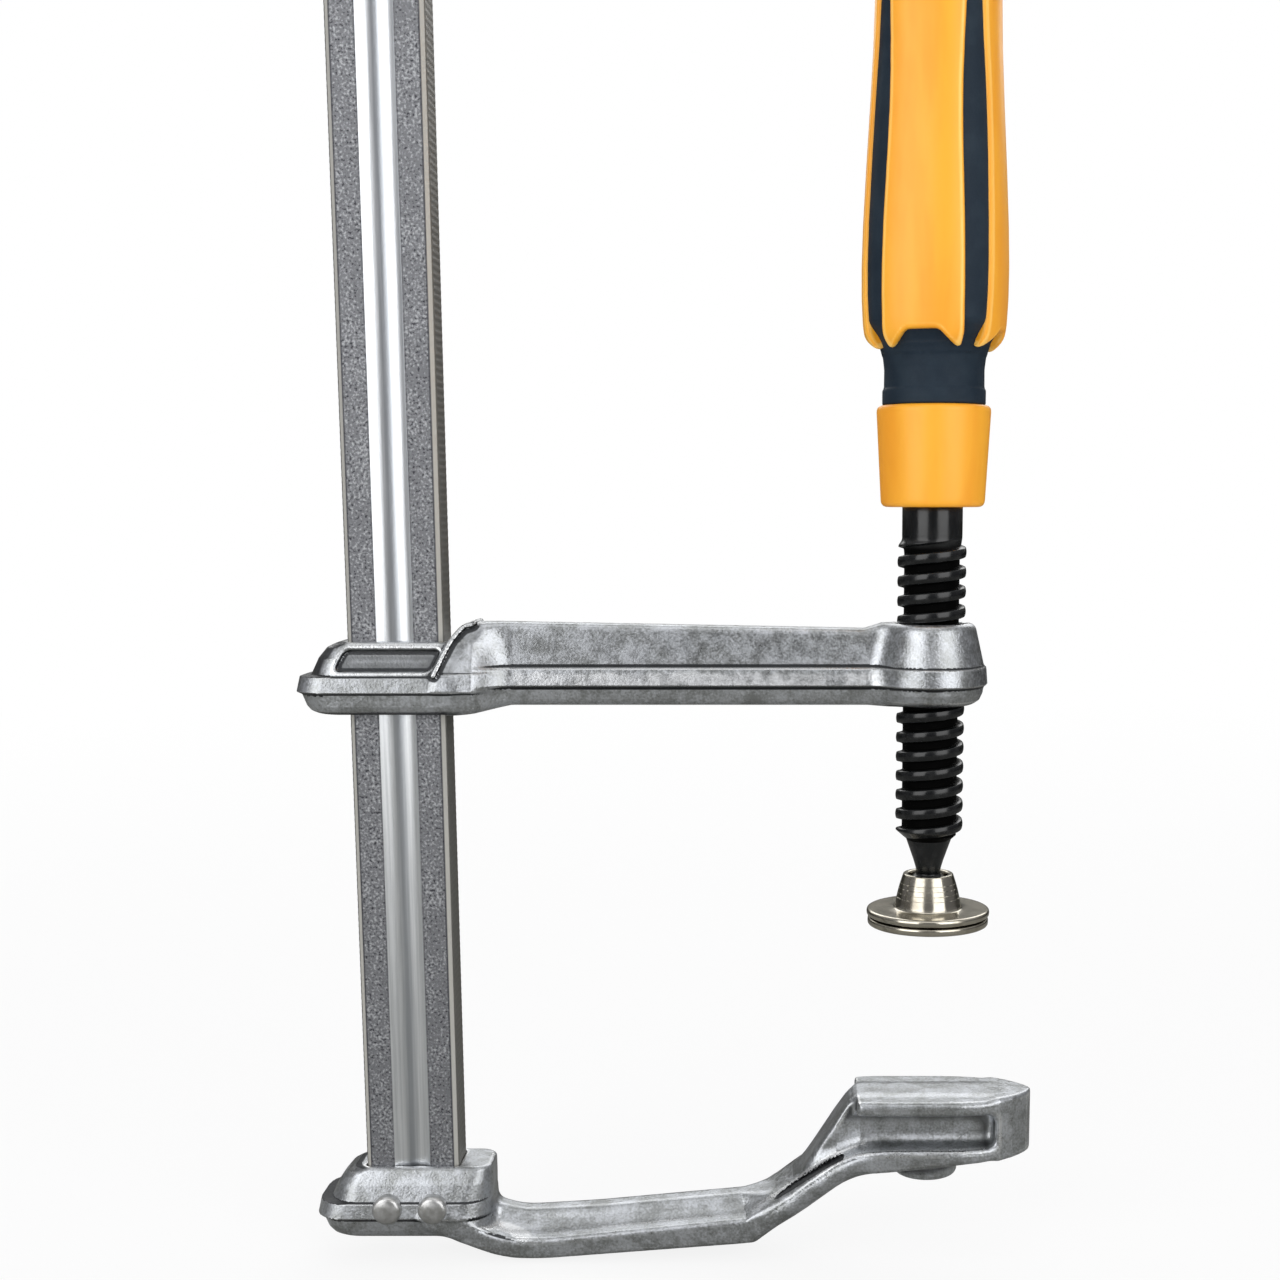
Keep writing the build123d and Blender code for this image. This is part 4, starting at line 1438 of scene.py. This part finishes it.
    def distance(self, head: ForgedHead, x: Grid, y: Grid, z: Grid) -> Grid:
        """Measure to the whole arm.

        Args:
            head: The arm's head.
            x: X of the places.
            y: Y of the places.
            z: Z of the places.

        Returns:
            Distance to the arm.
        """
        aside = abs(y)
        flange = self.flange(x, z)
        outline = outline_distance(x, z, round_corners(self.web_line, self.web_bend, closed=True))
        body = blend_min(flange, self.web(x, aside, flange, outline), self.flange_fillet)
        plate = np.maximum(abs(z + self.plate_half) - self.plate_half, self.plate_left - x)
        body = blend_min(body, blend_min(plate, self.nose_wall - x, self.nose_fillet), self.plate_fillet)
        body = blend_max(body, np.minimum(flange, outline) - self.side_stand, self.side_edge)
        straight = aside - np.interp(x, self.plan_places, self.plan_halves)
        pointed = (aside - np.interp(x, self.nose_places, self.nose_halves)) * self.nose_slant
        front_round = np.interp(x, self.front_places, self.front_rounds)
        body = blend_max(body, np.where(x > self.nose_start, pointed, straight), front_round)
        slit = np.maximum(self.crease(x, z, flange), self.slit_bottom - aside)
        body = blend_max(body, -slit, self.slit_edge)
        tail = blend_max(np.hypot(x, y) - self.tail_radius, self.tail_bottom - z, self.tail_rounding)
        body = blend_min(body, np.maximum(tail, z - self.tail_top), self.tail_rounding)
        body = blend_min(body, head.distance(x, y, z), self.head_fillet)
        return blend_max(body, -head.rail_hole(x, y), self.hole_edge)

    def build(self, bench: Bench) -> None:
        """Make the arm, with shade painted along its crease, and its two rivets.

        Args:
            bench: Where the pieces are made.
        """
        box = Box.of("fixed_arm")
        head = ForgedHead.on_rail(box.low[0], Box.of("rail").low[2], rail_gap=self.rail_gap, pocketed=False)
        skin = cast(partial(self.distance, head), box.low, box.high, self.cell)
        x, _, z = skin.points.T
        # Painted shade along the thin crease on the ramp, kept off the underside
        crease = np.clip(1 - self.crease(x, z, self.flange(x, z)) / self.slit_spread, 0, 1)
        crease *= skin.normals[:, 2] > self.underside
        skin.marks["hollow"] = np.maximum(skin.marks["hollow"], crease)
        bench.make("forged_fixed_arm", skin, "fixed_arm")
        for side in ("left", "right"):
            node = f"fixed_arm_rivet_{side}"
            rivet = Box.of(node)
            radius, half = rivet.half[:2]
            dome = [(radius * share, half - drop) for share, drop in self.rivet_dome]
            profile = [*((reach, -height) for reach, height in dome), *reversed(dome)]
            profile = round_corners(profile, self.rivet_rounding)
            bench.make(f"rivet_{side}", lathe(profile, rivet.middle, Axis.ACROSS, sides=72), node)


@dataclass(frozen=True)
class Screw:
    """The spindle with its rolled thread, and the hidden swivel pieces on its ball end."""

    pitch: float = 4.57
    root: float = 6.45
    crest: float = 8.0
    crest_at: float = 63.49
    crest_share: float = 0.46
    flank_share: float = 0.11
    crown: float = 0.12
    run_out: float = 5.0
    run_out_lift: float = 1.6
    start_radius: float = 5.3
    start_slope: float = 1.15
    shank: float = 7.0
    sides: int = 160
    row: float = 0.14
    neck: Outline = ((2.9, 53.7), (3.0, 55.0), (3.6, 57.0), (5.25, 61.7))
    ball_radius: float = 5.2
    ball_turn: float = 0.98
    ball_points: int = 14
    thread_low: float = 62.0
    thread_high: float = 133.2
    tang: float = 5.5
    tang_chamfer: float = 1.0

    def tooth(self, phase: Grid) -> Grid:
        """Give the height of the thread round its pitch.

        Args:
            phase: Place along the thread in turns, with a crest at each whole number.

        Returns:
            Height from 0 at the root to 1 on the crowned crest.
        """
        off = abs((phase + 0.5) % 1 - 0.5)
        crown = 1 - self.crown * (off / (self.crest_share / 2)) ** 2
        return ease((self.crest_share / 2 + self.flank_share - off) / self.flank_share) * crown

    def profile(self) -> list:
        """List the spindle's profile from its ball end up.

        Returns:
            Radius and height of each point. The thread's points have no radius yet.
        """
        spindle, collar = Box.of("spindle"), Box.of("handle_collar")
        low, top, high = spindle.low[2], spindle.high[2], collar.high[2]
        ball_z = low + math.sqrt(self.ball_radius**2 - self._end_radius(low) ** 2)
        start = math.asin((low - ball_z) / self.ball_radius)
        ball = [
            (self.ball_radius * math.cos(angle), ball_z + self.ball_radius * math.sin(angle))
            for angle in np.linspace(start, self.ball_turn, self.ball_points)
        ]
        thread = [(0.0, height) for height in np.arange(self.thread_low, self.thread_high + 1, self.row)]
        upper = [
            (self.shank, self.thread_high + 2), (self.shank, high), (self.tang, high + 0.1),
            (self.tang, top - self.tang_chamfer), (self.tang - self.tang_chamfer, top), (0.0, top),
        ]
        return [(0.0, low), *ball, *self.neck, *thread, *upper]

    def skin(self) -> Skin:
        """Turn the whole spindle, with its thread.

        Returns:
            The spindle's skin.
        """
        profile = self.profile()
        skin = lathe(profile, sides=self.sides)
        height = skin.points[:, 2]
        threaded = np.hypot(skin.points[:, 0], skin.points[:, 1]) < 0.01
        threaded &= (height > self.thread_low - 0.01) & (height < self.thread_high + 1.01)
        turn = np.zeros(len(height))
        rings = len(profile) - 2
        turn[:rings * self.sides] = np.tile(np.arange(self.sides) * 2 * math.pi / self.sides, rings)
        phase = (height - self.crest_at) / self.pitch - (turn - math.pi) / (2 * math.pi)
        tooth = self.tooth(phase)
        fade = ease((self.thread_high + 0.5 - height) / self.run_out)
        floor = self.root + (self.shank - self.root) * (1 - fade)
        wanted = floor + (self.crest - floor) * tooth * ease(fade * self.run_out_lift)
        start = self.start_radius + np.maximum(height - self.thread_low, 0) * self.start_slope
        wanted = np.minimum(wanted, start)
        skin.points[threaded, 0] = (wanted * np.cos(turn))[threaded]
        skin.points[threaded, 1] = (wanted * np.sin(turn))[threaded]
        # Marks the thread's root, where the finish paints shade
        skin.marks["hollow"] = np.where(threaded, fade * (1 - tooth), 0)
        return skin

    def _end_radius(self, low: float) -> float:
        """Read the radius of the flat under the ball, at a height, from the frame."""
        places = [vertex.co for vertex in frame["nodes"]["spindle"].data.vertices]
        return max(math.hypot(place.x, place.y) / MM for place in places if place.z / MM < low + 0.01)

    def build(self, bench: Bench) -> None:
        """Make the spindle and dress the pieces inside the swivel.

        Args:
            bench: Where the pieces are made.
        """
        bench.make("threaded_spindle", self.skin(), "spindle")
        bench.dress("thrust_button")
        bench.dress("ball_seat")


@dataclass(frozen=True)
class SwivelPad:
    """The swivel pad: a crimped cup with a flange, over a flat base."""

    flange_rise: float = 3.9
    cup_foot: float = 8.0
    cup_top: float = 5.9
    cone_sweep: Outline = ((1.6, -0.05), (0.1, 0.15))
    cone_span: tuple[float, float] = (0.12, 0.94)
    cone_rings: int = 7
    bulge: float = 0.22
    mouth: float = 4.7
    mouth_depth: float = 1.85
    lip: float = 5.45
    wall: float = 6.2
    wall_rise: float = 6.6
    groove: float = 1.7
    groove_rise: float = 0.35
    groove_margin: float = 0.45
    cup_rounding: float = 0.75
    base_inset: float = 3.4
    base_relief: float = 0.25
    base_bevel: float = 0.4
    base_rounding: float = 0.6

    def cup_profile(self, cup: Box, flange_top: float) -> list:
        """List the cup's closed profile, from the foot of its bore round the outside.

        Args:
            cup: Room of the cup.
            flange_top: Height of the flange's upper face.

        Returns:
            Radius and height of each point.
        """
        rim, low, top = cup.high[0], cup.low[2], cup.high[2]
        cone = []
        for share in np.linspace(*self.cone_span, self.cone_rings):
            radius = self.cup_foot + (self.cup_top - self.cup_foot) * share
            swell = self.bulge * math.sin(math.pi * share)
            cone.append((radius + swell, flange_top + (top - flange_top) * share))
        groove_top = low + self.groove_rise
        sweep = [(self.cup_foot + out, flange_top + up) for out, up in self.cone_sweep]
        return [
            (self.wall, low), (rim - self.groove, low), (rim - self.groove, groove_top), (rim, groove_top),
            (rim, flange_top), *sweep, *cone, (self.cup_top, top), (self.mouth, top),
            (self.mouth, top - self.mouth_depth), (self.lip, low + self.wall_rise),
            (self.wall, low + self.wall_rise),
        ]

    def build(self, bench: Bench) -> None:
        """Make the cup, with shade painted in the gap above the base, and the base.

        Args:
            bench: Where the pieces are made.
        """
        cup, base = Box.of("pad_cup"), Box.of("pad_base")
        rim, low, top = base.high[0], base.low[2], base.high[2]
        profile = self.cup_profile(cup, low + self.flange_rise)
        skin = lathe(round_corners(profile, self.cup_rounding, closed=True), closed=True)
        reach, height = np.hypot(skin.points[:, 0], skin.points[:, 1]), skin.points[:, 2]
        margin = self.groove_margin
        # The cup's groove above the base, where shade is painted
        skin.marks["hollow"] = (reach < cup.high[0] - margin) & (height < cup.low[2] + margin)
        bench.make("crimped_cup", skin, "pad_cup")
        inner, relief = rim - self.base_inset, low + self.base_relief
        foot = [(0, relief), (inner, relief), (inner + self.base_bevel, low), (rim, low)]
        profile = round_corners([*foot, (rim, top), (0, top)], self.base_rounding)
        bench.make("pad_disc", lathe(profile), "pad_base")


@dataclass(frozen=True)
class Handle:
    """The handle: collar, hard core with four lobes, and the soft grip between them."""

    cell: float = 0.46
    room: float = 17.6
    lobes: int = 4
    turn: float = math.radians(-90 - 15.5)
    neck: float = 12.1
    squareness: float = 2.36
    panel_in: float = 0.3
    lobe_heights: Values = (-4.0, 0.0, 2.2, 5.7, 11.5, 18.5, 27.5, 39.5, 53.5, 65.5, 77.5, 89.5, 99.9)
    lobe_radii: Values = (11.2, 11.9, 13.1, 16.4, 16.7, 16.75, 16.5, 15.9, 15.1, 14.5, 14.2, 14.4, 14.5)
    lobe_bend: float = 0.9
    lobe_edge: float = 1.0
    toe_heights: Values = (-3.0, -0.8, 0.0, 1.2, 3.0, 5.7, 11.5)
    toe_radii: Values = (12.3, 12.9, 13.6, 14.9, 16.0, 16.4, 16.7)
    toe_top: float = 8.0
    toe_hang: float = 1.0
    toe_rounding: float = 2.0
    stripe_heights: Values = (-2.0, 6.0, 12.0, 28.0, 45.0, 56.0, 67.0, 78.0, 88.0, 99.9)
    stripe_degrees: Values = (17.0, 21.0, 21.5, 22.7, 24.8, 24.0, 19.5, 15.0, 11.5, 9.0)
    stripe_bend: float = 4.0
    stripe_recess: float = 0.75
    recess_start: float = 1.0
    recess_run: float = 5.0
    stripe_depth: float = 2.4
    notch_half: float = 6.9
    notch_slope: float = 0.82
    notch_height: float = 3.9
    overlap: float = 0.4
    tuck: float = 0.5
    dome: float = 13.0
    neck_heights: Values = (0.0, 3.4, 3.8, 8.0, 10.5, 12.4, 14.3, 16.0)
    neck_radii: Values = (11.85, 11.85, 11.5, 11.45, 11.75, 12.15, 12.9, 14.2)
    neck_bend: float = 0.25
    neck_rise: float = 1.0
    neck_fillet: float = 1.0
    drafted: float = 0.9
    foot_rounding: float = 0.5
    core_neck: float = 9.4
    collar_bore: float = 7.1
    collar_foot: float = 11.95
    collar_rounding: float = 1.6

    def folded(self, x: Grid, y: Grid) -> tuple[Grid, Grid]:
        """Fold the section on one lobe.

        Args:
            x: X of the places.
            y: Y of the places.

        Returns:
            Angle from the lobe's middle, in radians, and the superellipse radius.
        """
        angle = np.arctan2(y, x) - self.turn
        spread = 2 * math.pi / self.lobes
        off = abs((angle + spread / 2) % spread - spread / 2)
        power = self.squareness
        reach = np.hypot(x, y) * (np.cos(off) ** power + np.sin(off) ** power) ** (1 / power)
        return off, reach

    def form(self, reach: Grid, up: Grid, inset: float, toes: bool = False) -> Grid:
        """Measure to the outer form of the lobes.

        Args:
            reach: The superellipse radius.
            up: Height above the lobes' foot.
            inset: How far the form is drawn in.
            toes: Whether the foot stands out, as it does beside the notches.

        Returns:
            Distance to the form.
        """
        radius = flowing(up, self.lobe_heights, self.lobe_radii, self.lobe_bend) - self.panel_in
        if toes:
            standing = flowing(up, self.toe_heights, self.toe_radii, self.lobe_bend) - self.panel_in
            radius = np.where(up < self.toe_top, np.maximum(radius, standing), radius)
        top = up - self.lobe_heights[-1]
        return blend_max(reach - radius, top + 0 * reach, self.dome) + inset

    def stripe(self, off: Grid, reach: Grid, up: Grid) -> Grid:
        """Measure to the stripe between two lobes."""
        half = np.radians(flowing(up, self.stripe_heights, self.stripe_degrees, self.stripe_bend)) / 2
        return -reach * np.sin(off - (math.pi / self.lobes - half))

    def notch(self, off: Grid, reach: Grid, up: Grid) -> Grid:
        """Measure to the sloped notch in the foot of a lobe."""
        across = reach * np.sin(off) - self.notch_half + up * self.notch_slope
        return blend_max(across, up - self.notch_height, self.lobe_edge)

    def core(self, base: float, x: Grid, y: Grid, z: Grid) -> Grid:
        """Measure to the hard core.

        Args:
            base: Height of the collar's top.
            x: X of the places.
            y: Y of the places.
            z: Z of the places.

        Returns:
            Distance to the core.
        """
        up = z - base - self.neck
        off, reach = self.folded(x, y)
        lobes = self.form(reach, up, 0, toes=True)
        lobes = blend_max(lobes, -self.stripe(off, reach, up), self.lobe_edge)
        lobes = blend_max(lobes, -self.notch(off, reach, up), self.lobe_edge)
        lobes = blend_max(lobes, -up - self.toe_hang, self.toe_rounding)
        inner = np.maximum(self.form(reach, up, self.stripe_depth), -up)
        neck = np.maximum(np.hypot(x, y) - self.core_neck, abs(z - base - self.neck / 2) - self.neck / 2)
        return np.minimum(np.minimum(lobes, inner), neck)

    def grip(self, base: float, x: Grid, y: Grid, z: Grid) -> Grid:
        """Measure to the soft grip.

        Args:
            base: Height of the collar's top.
            x: X of the places.
            y: Y of the places.
            z: Z of the places.

        Returns:
            Distance to the grip.
        """
        up = z - base - self.neck
        off, reach = self.folded(x, y)
        recess = self.stripe_recess * ease((up - self.recess_start) / self.recess_run)
        room = np.minimum(self.stripe(off, reach, up), self.notch(off, reach, up)) - self.tuck
        stripes = np.maximum(np.maximum(self.form(reach, up, recess), room), -up - self.tuck)
        foot = flowing(z - base, self.neck_heights, self.neck_radii, self.neck_bend)
        neck = np.maximum((np.hypot(x, y) - foot) * self.drafted, up - self.neck_rise)
        whole = blend_max(blend_min(stripes, neck, self.neck_fillet), base - z, self.foot_rounding)
        inner = np.maximum(self.form(reach, up, self.stripe_depth + self.overlap), -up)
        inner = np.minimum(inner, np.hypot(x, y) - self.core_neck + self.overlap)
        return np.maximum(whole, -inner)

    def build(self, bench: Bench) -> None:
        """Make the collar, the core and the grip.

        Args:
            bench: Where the pieces are made.
        """
        collar, core = Box.of("handle_collar"), Box.of("handle_core")
        low, rim, top = collar.low[2], collar.high[0], collar.high[2]
        profile = [(self.collar_bore, low), (self.collar_foot, low), (rim, top), (self.collar_bore, top)]
        profile = round_corners(profile, self.collar_rounding, closed=True, steps=7)
        bench.make("amber_collar", lathe(profile, closed=True), "handle_collar")
        low, high = (-self.room, -self.room, core.low[2]), (self.room, self.room, core.high[2])
        bench.make("lobed_core", cast(partial(self.core, top), low, high, self.cell), "handle_core")
        bench.make("soft_grip", cast(partial(self.grip, top), low, high, self.cell), "handle_grip")


# Stage

@dataclass(frozen=True)
class Lamp:
    """A soft lamp: where it hangs in degrees, its size in metres and its power in watts."""

    name: str
    turn: float
    rise: float
    width: float
    height: float
    power: float

    def hang(self, middle: Sequence[float], distance: float) -> None:
        """Hang the lamp so that it faces the object.

        Args:
            middle: Middle of the object, in metres.
            distance: How far from it the lamp hangs.
        """
        data = bpy.data.lights.new(self.name, "AREA")
        data.shape = "RECTANGLE"
        data.size, data.size_y = self.width, self.height
        data.energy = self.power
        lamp = bpy.data.objects.new(self.name, data)
        turn, up = math.radians(self.turn), math.radians(self.rise)
        away = np.array([math.sin(turn) * math.cos(up), -math.cos(turn) * math.cos(up), math.sin(up)])
        lamp.location = np.array(middle) + away * distance
        lamp.rotation_euler = (math.radians(90) - up, 0, turn)
        lamp.visible_camera = False
        bpy.context.scene.collection.objects.link(lamp)


@dataclass(frozen=True)
class Studio:
    """The camera, the lamps and the pale ground. Its sizes are in metres."""

    eye: tuple = (-0.033, -0.419, 0.1419)
    tilt: float = 8.9
    lens: float = 50.34
    sensor: float = 36.0
    shift: tuple = (-0.1172, 0.1086)
    floor: float = -0.0409
    middle: tuple = (-0.06, 0.0, 0.12)
    lamp_distance: float = 1.3
    lamps: tuple[Lamp, ...] = (
        Lamp("left_lamp", -39.0, 16.0, 0.96, 1.1, 8.2),
        Lamp("right_lamp", 39.0, 16.0, 0.96, 1.1, 7.8),
        Lamp("top_lamp", 8.0, 80.0, 1.0, 1.0, 2.5),
        Lamp("back_lamp", 180.0, 34.0, 1.8, 0.7, 8.0),
    )
    ground_front: float = -3.0
    ground_back: float = 2.2
    ground_half: float = 4.0
    backdrop_rise: float = 3.0
    backdrop_bend: float = 0.9
    matt_ground: Colour = (0.80, 0.80, 0.80)
    glossy_near: Colour = (0.28, 0.28, 0.2632)
    glossy_far: Colour = (0.07, 0.07, 0.0658)
    glossy_high: Colour = (0.36, 0.36, 0.3384)
    glow: float = 0.86
    room: Colour = (0.46, 0.46, 0.47)
    reflected_room: tuple = (
        (0.0, (0.10, 0.10, 0.10)), (0.45, (0.11, 0.11, 0.12)), (0.62, (0.20, 0.20, 0.21)),
        (1.0, (0.7, 0.7, 0.7)),
    )
    white: Colour = (1.0, 1.0, 1.0)

    def camera(self) -> None:
        """Set the camera at the photograph's place."""
        data = bpy.data.cameras.new("camera")
        data.lens = self.lens
        data.sensor_width = self.sensor
        data.shift_x, data.shift_y = self.shift
        data.clip_start = 0.01
        camera = bpy.data.objects.new("camera", data)
        camera.location = self.eye
        camera.rotation_euler = (math.radians(90 - self.tilt), 0, 0)
        bpy.context.scene.collection.objects.link(camera)
        bpy.context.scene.camera = camera

    def ground(self) -> None:
        """Lay the floor, which rises into a backdrop far behind."""
        bend = self.backdrop_bend
        line = [(self.ground_front, 0.0), (self.ground_back - bend, 0.0)]
        for angle in np.linspace(0, math.pi / 2, 24)[1:]:
            line.append((self.ground_back - bend + bend * math.sin(angle), bend * (1 - math.cos(angle))))
        line.append((self.ground_back, self.backdrop_rise))
        points = [(x, y, z + self.floor) for y, z in line for x in (-self.ground_half, self.ground_half)]
        faces = [(2 * i, 2 * i + 1, 2 * i + 3, 2 * i + 2) for i in range(len(line) - 1)]
        mesh = bpy.data.meshes.new("ground")
        mesh.from_pydata(points, [], faces)
        mesh.shade_smooth()
        mesh.materials.append(self.ground_material())
        ground = bpy.data.objects.new("ground", mesh)
        bpy.context.scene.collection.objects.link(ground)

    def ground_material(self) -> bpy.types.Material:
        """Make the ground's material, which is matt by the object and glows white further out.

        Returns:
            The material, which shines back darker behind the object than above it.
        """
        material = bpy.data.materials.new("pale_ground")
        recipe = Recipe(material)
        behind = recipe.place().part("Y").fit(0.1, 0.6)
        high = recipe.place().part("Z").fit(0.1, 0.5)
        reflected = recipe.mix(high, recipe.mix(behind, self.glossy_near, self.glossy_far), self.glossy_high)
        colour = recipe.mix(recipe.ray("Glossy"), self.matt_ground, reflected)
        matt = recipe.node("ShaderNodeBsdfDiffuse", inputs={"Color": colour})
        glow = recipe.node("ShaderNodeEmission", inputs={"Color": self.white, "Strength": 1.0})
        away = recipe.node("ShaderNodeVectorMath", {"operation": "LENGTH"}, {0: recipe.place()}, "Value")
        share = self.seen_directly(recipe) * away.fit(0.3, 1.3, self.glow, 1.0)
        recipe.finish(recipe.node("ShaderNodeMixShader", inputs={0: share, 1: matt, 2: glow}))
        return material

    @staticmethod
    def seen_directly(recipe: Recipe) -> Signal:
        """Tell the rays that show the background: 1 for camera and transmission rays."""
        return recipe.ray("Camera") + recipe.ray("Transmission")

    def sky(self) -> None:
        """Surround the object with a plain studio that darkens towards the horizon."""
        world = bpy.data.worlds.new("studio")
        bpy.context.scene.world = world
        recipe = Recipe(world)
        height = recipe.node("ShaderNodeTexCoord", output="Generated").part("Z") * 0.5 + 0.5
        reflected = recipe.node("ShaderNodeValToRGB", {"stops": self.reflected_room}, {0: height}, "Color")
        room = recipe.mix(recipe.ray("Glossy"), self.room, reflected)
        colour = recipe.mix(self.seen_directly(recipe), room, self.white)
        background = recipe.node("ShaderNodeBackground", inputs={"Color": colour, "Strength": 1.0})
        recipe.finish(background, "ShaderNodeOutputWorld")

    def build(self) -> None:
        """Set up the whole stage."""
        bpy.context.scene.view_settings.view_transform = "Standard"
        self.camera()
        for lamp in self.lamps:
            lamp.hang(self.middle, self.lamp_distance)
        self.ground()
        self.sky()
        log.info("studio: %d lamps", len(self.lamps))


def main() -> None:
    """Build the clamp and its stage."""
    logging.basicConfig(level=logging.INFO, format="%(name)s: %(message)s")
    rail = Rail()
    finishes = (
        ForgedZinc(), rail.finish(), PlainZinc(), BlackOxide(), HardenedSteel(), BrightNickel(),
        AmberPlastic(), NavyElastomer(),
    )
    bench = Bench(finishes)
    for assembly in (rail, SlidingArm(), FixedArm(), Screw(), SwivelPad(), Handle()):
        assembly.build(bench)
    Studio().build()


if __name__ == "__main__":
    main()
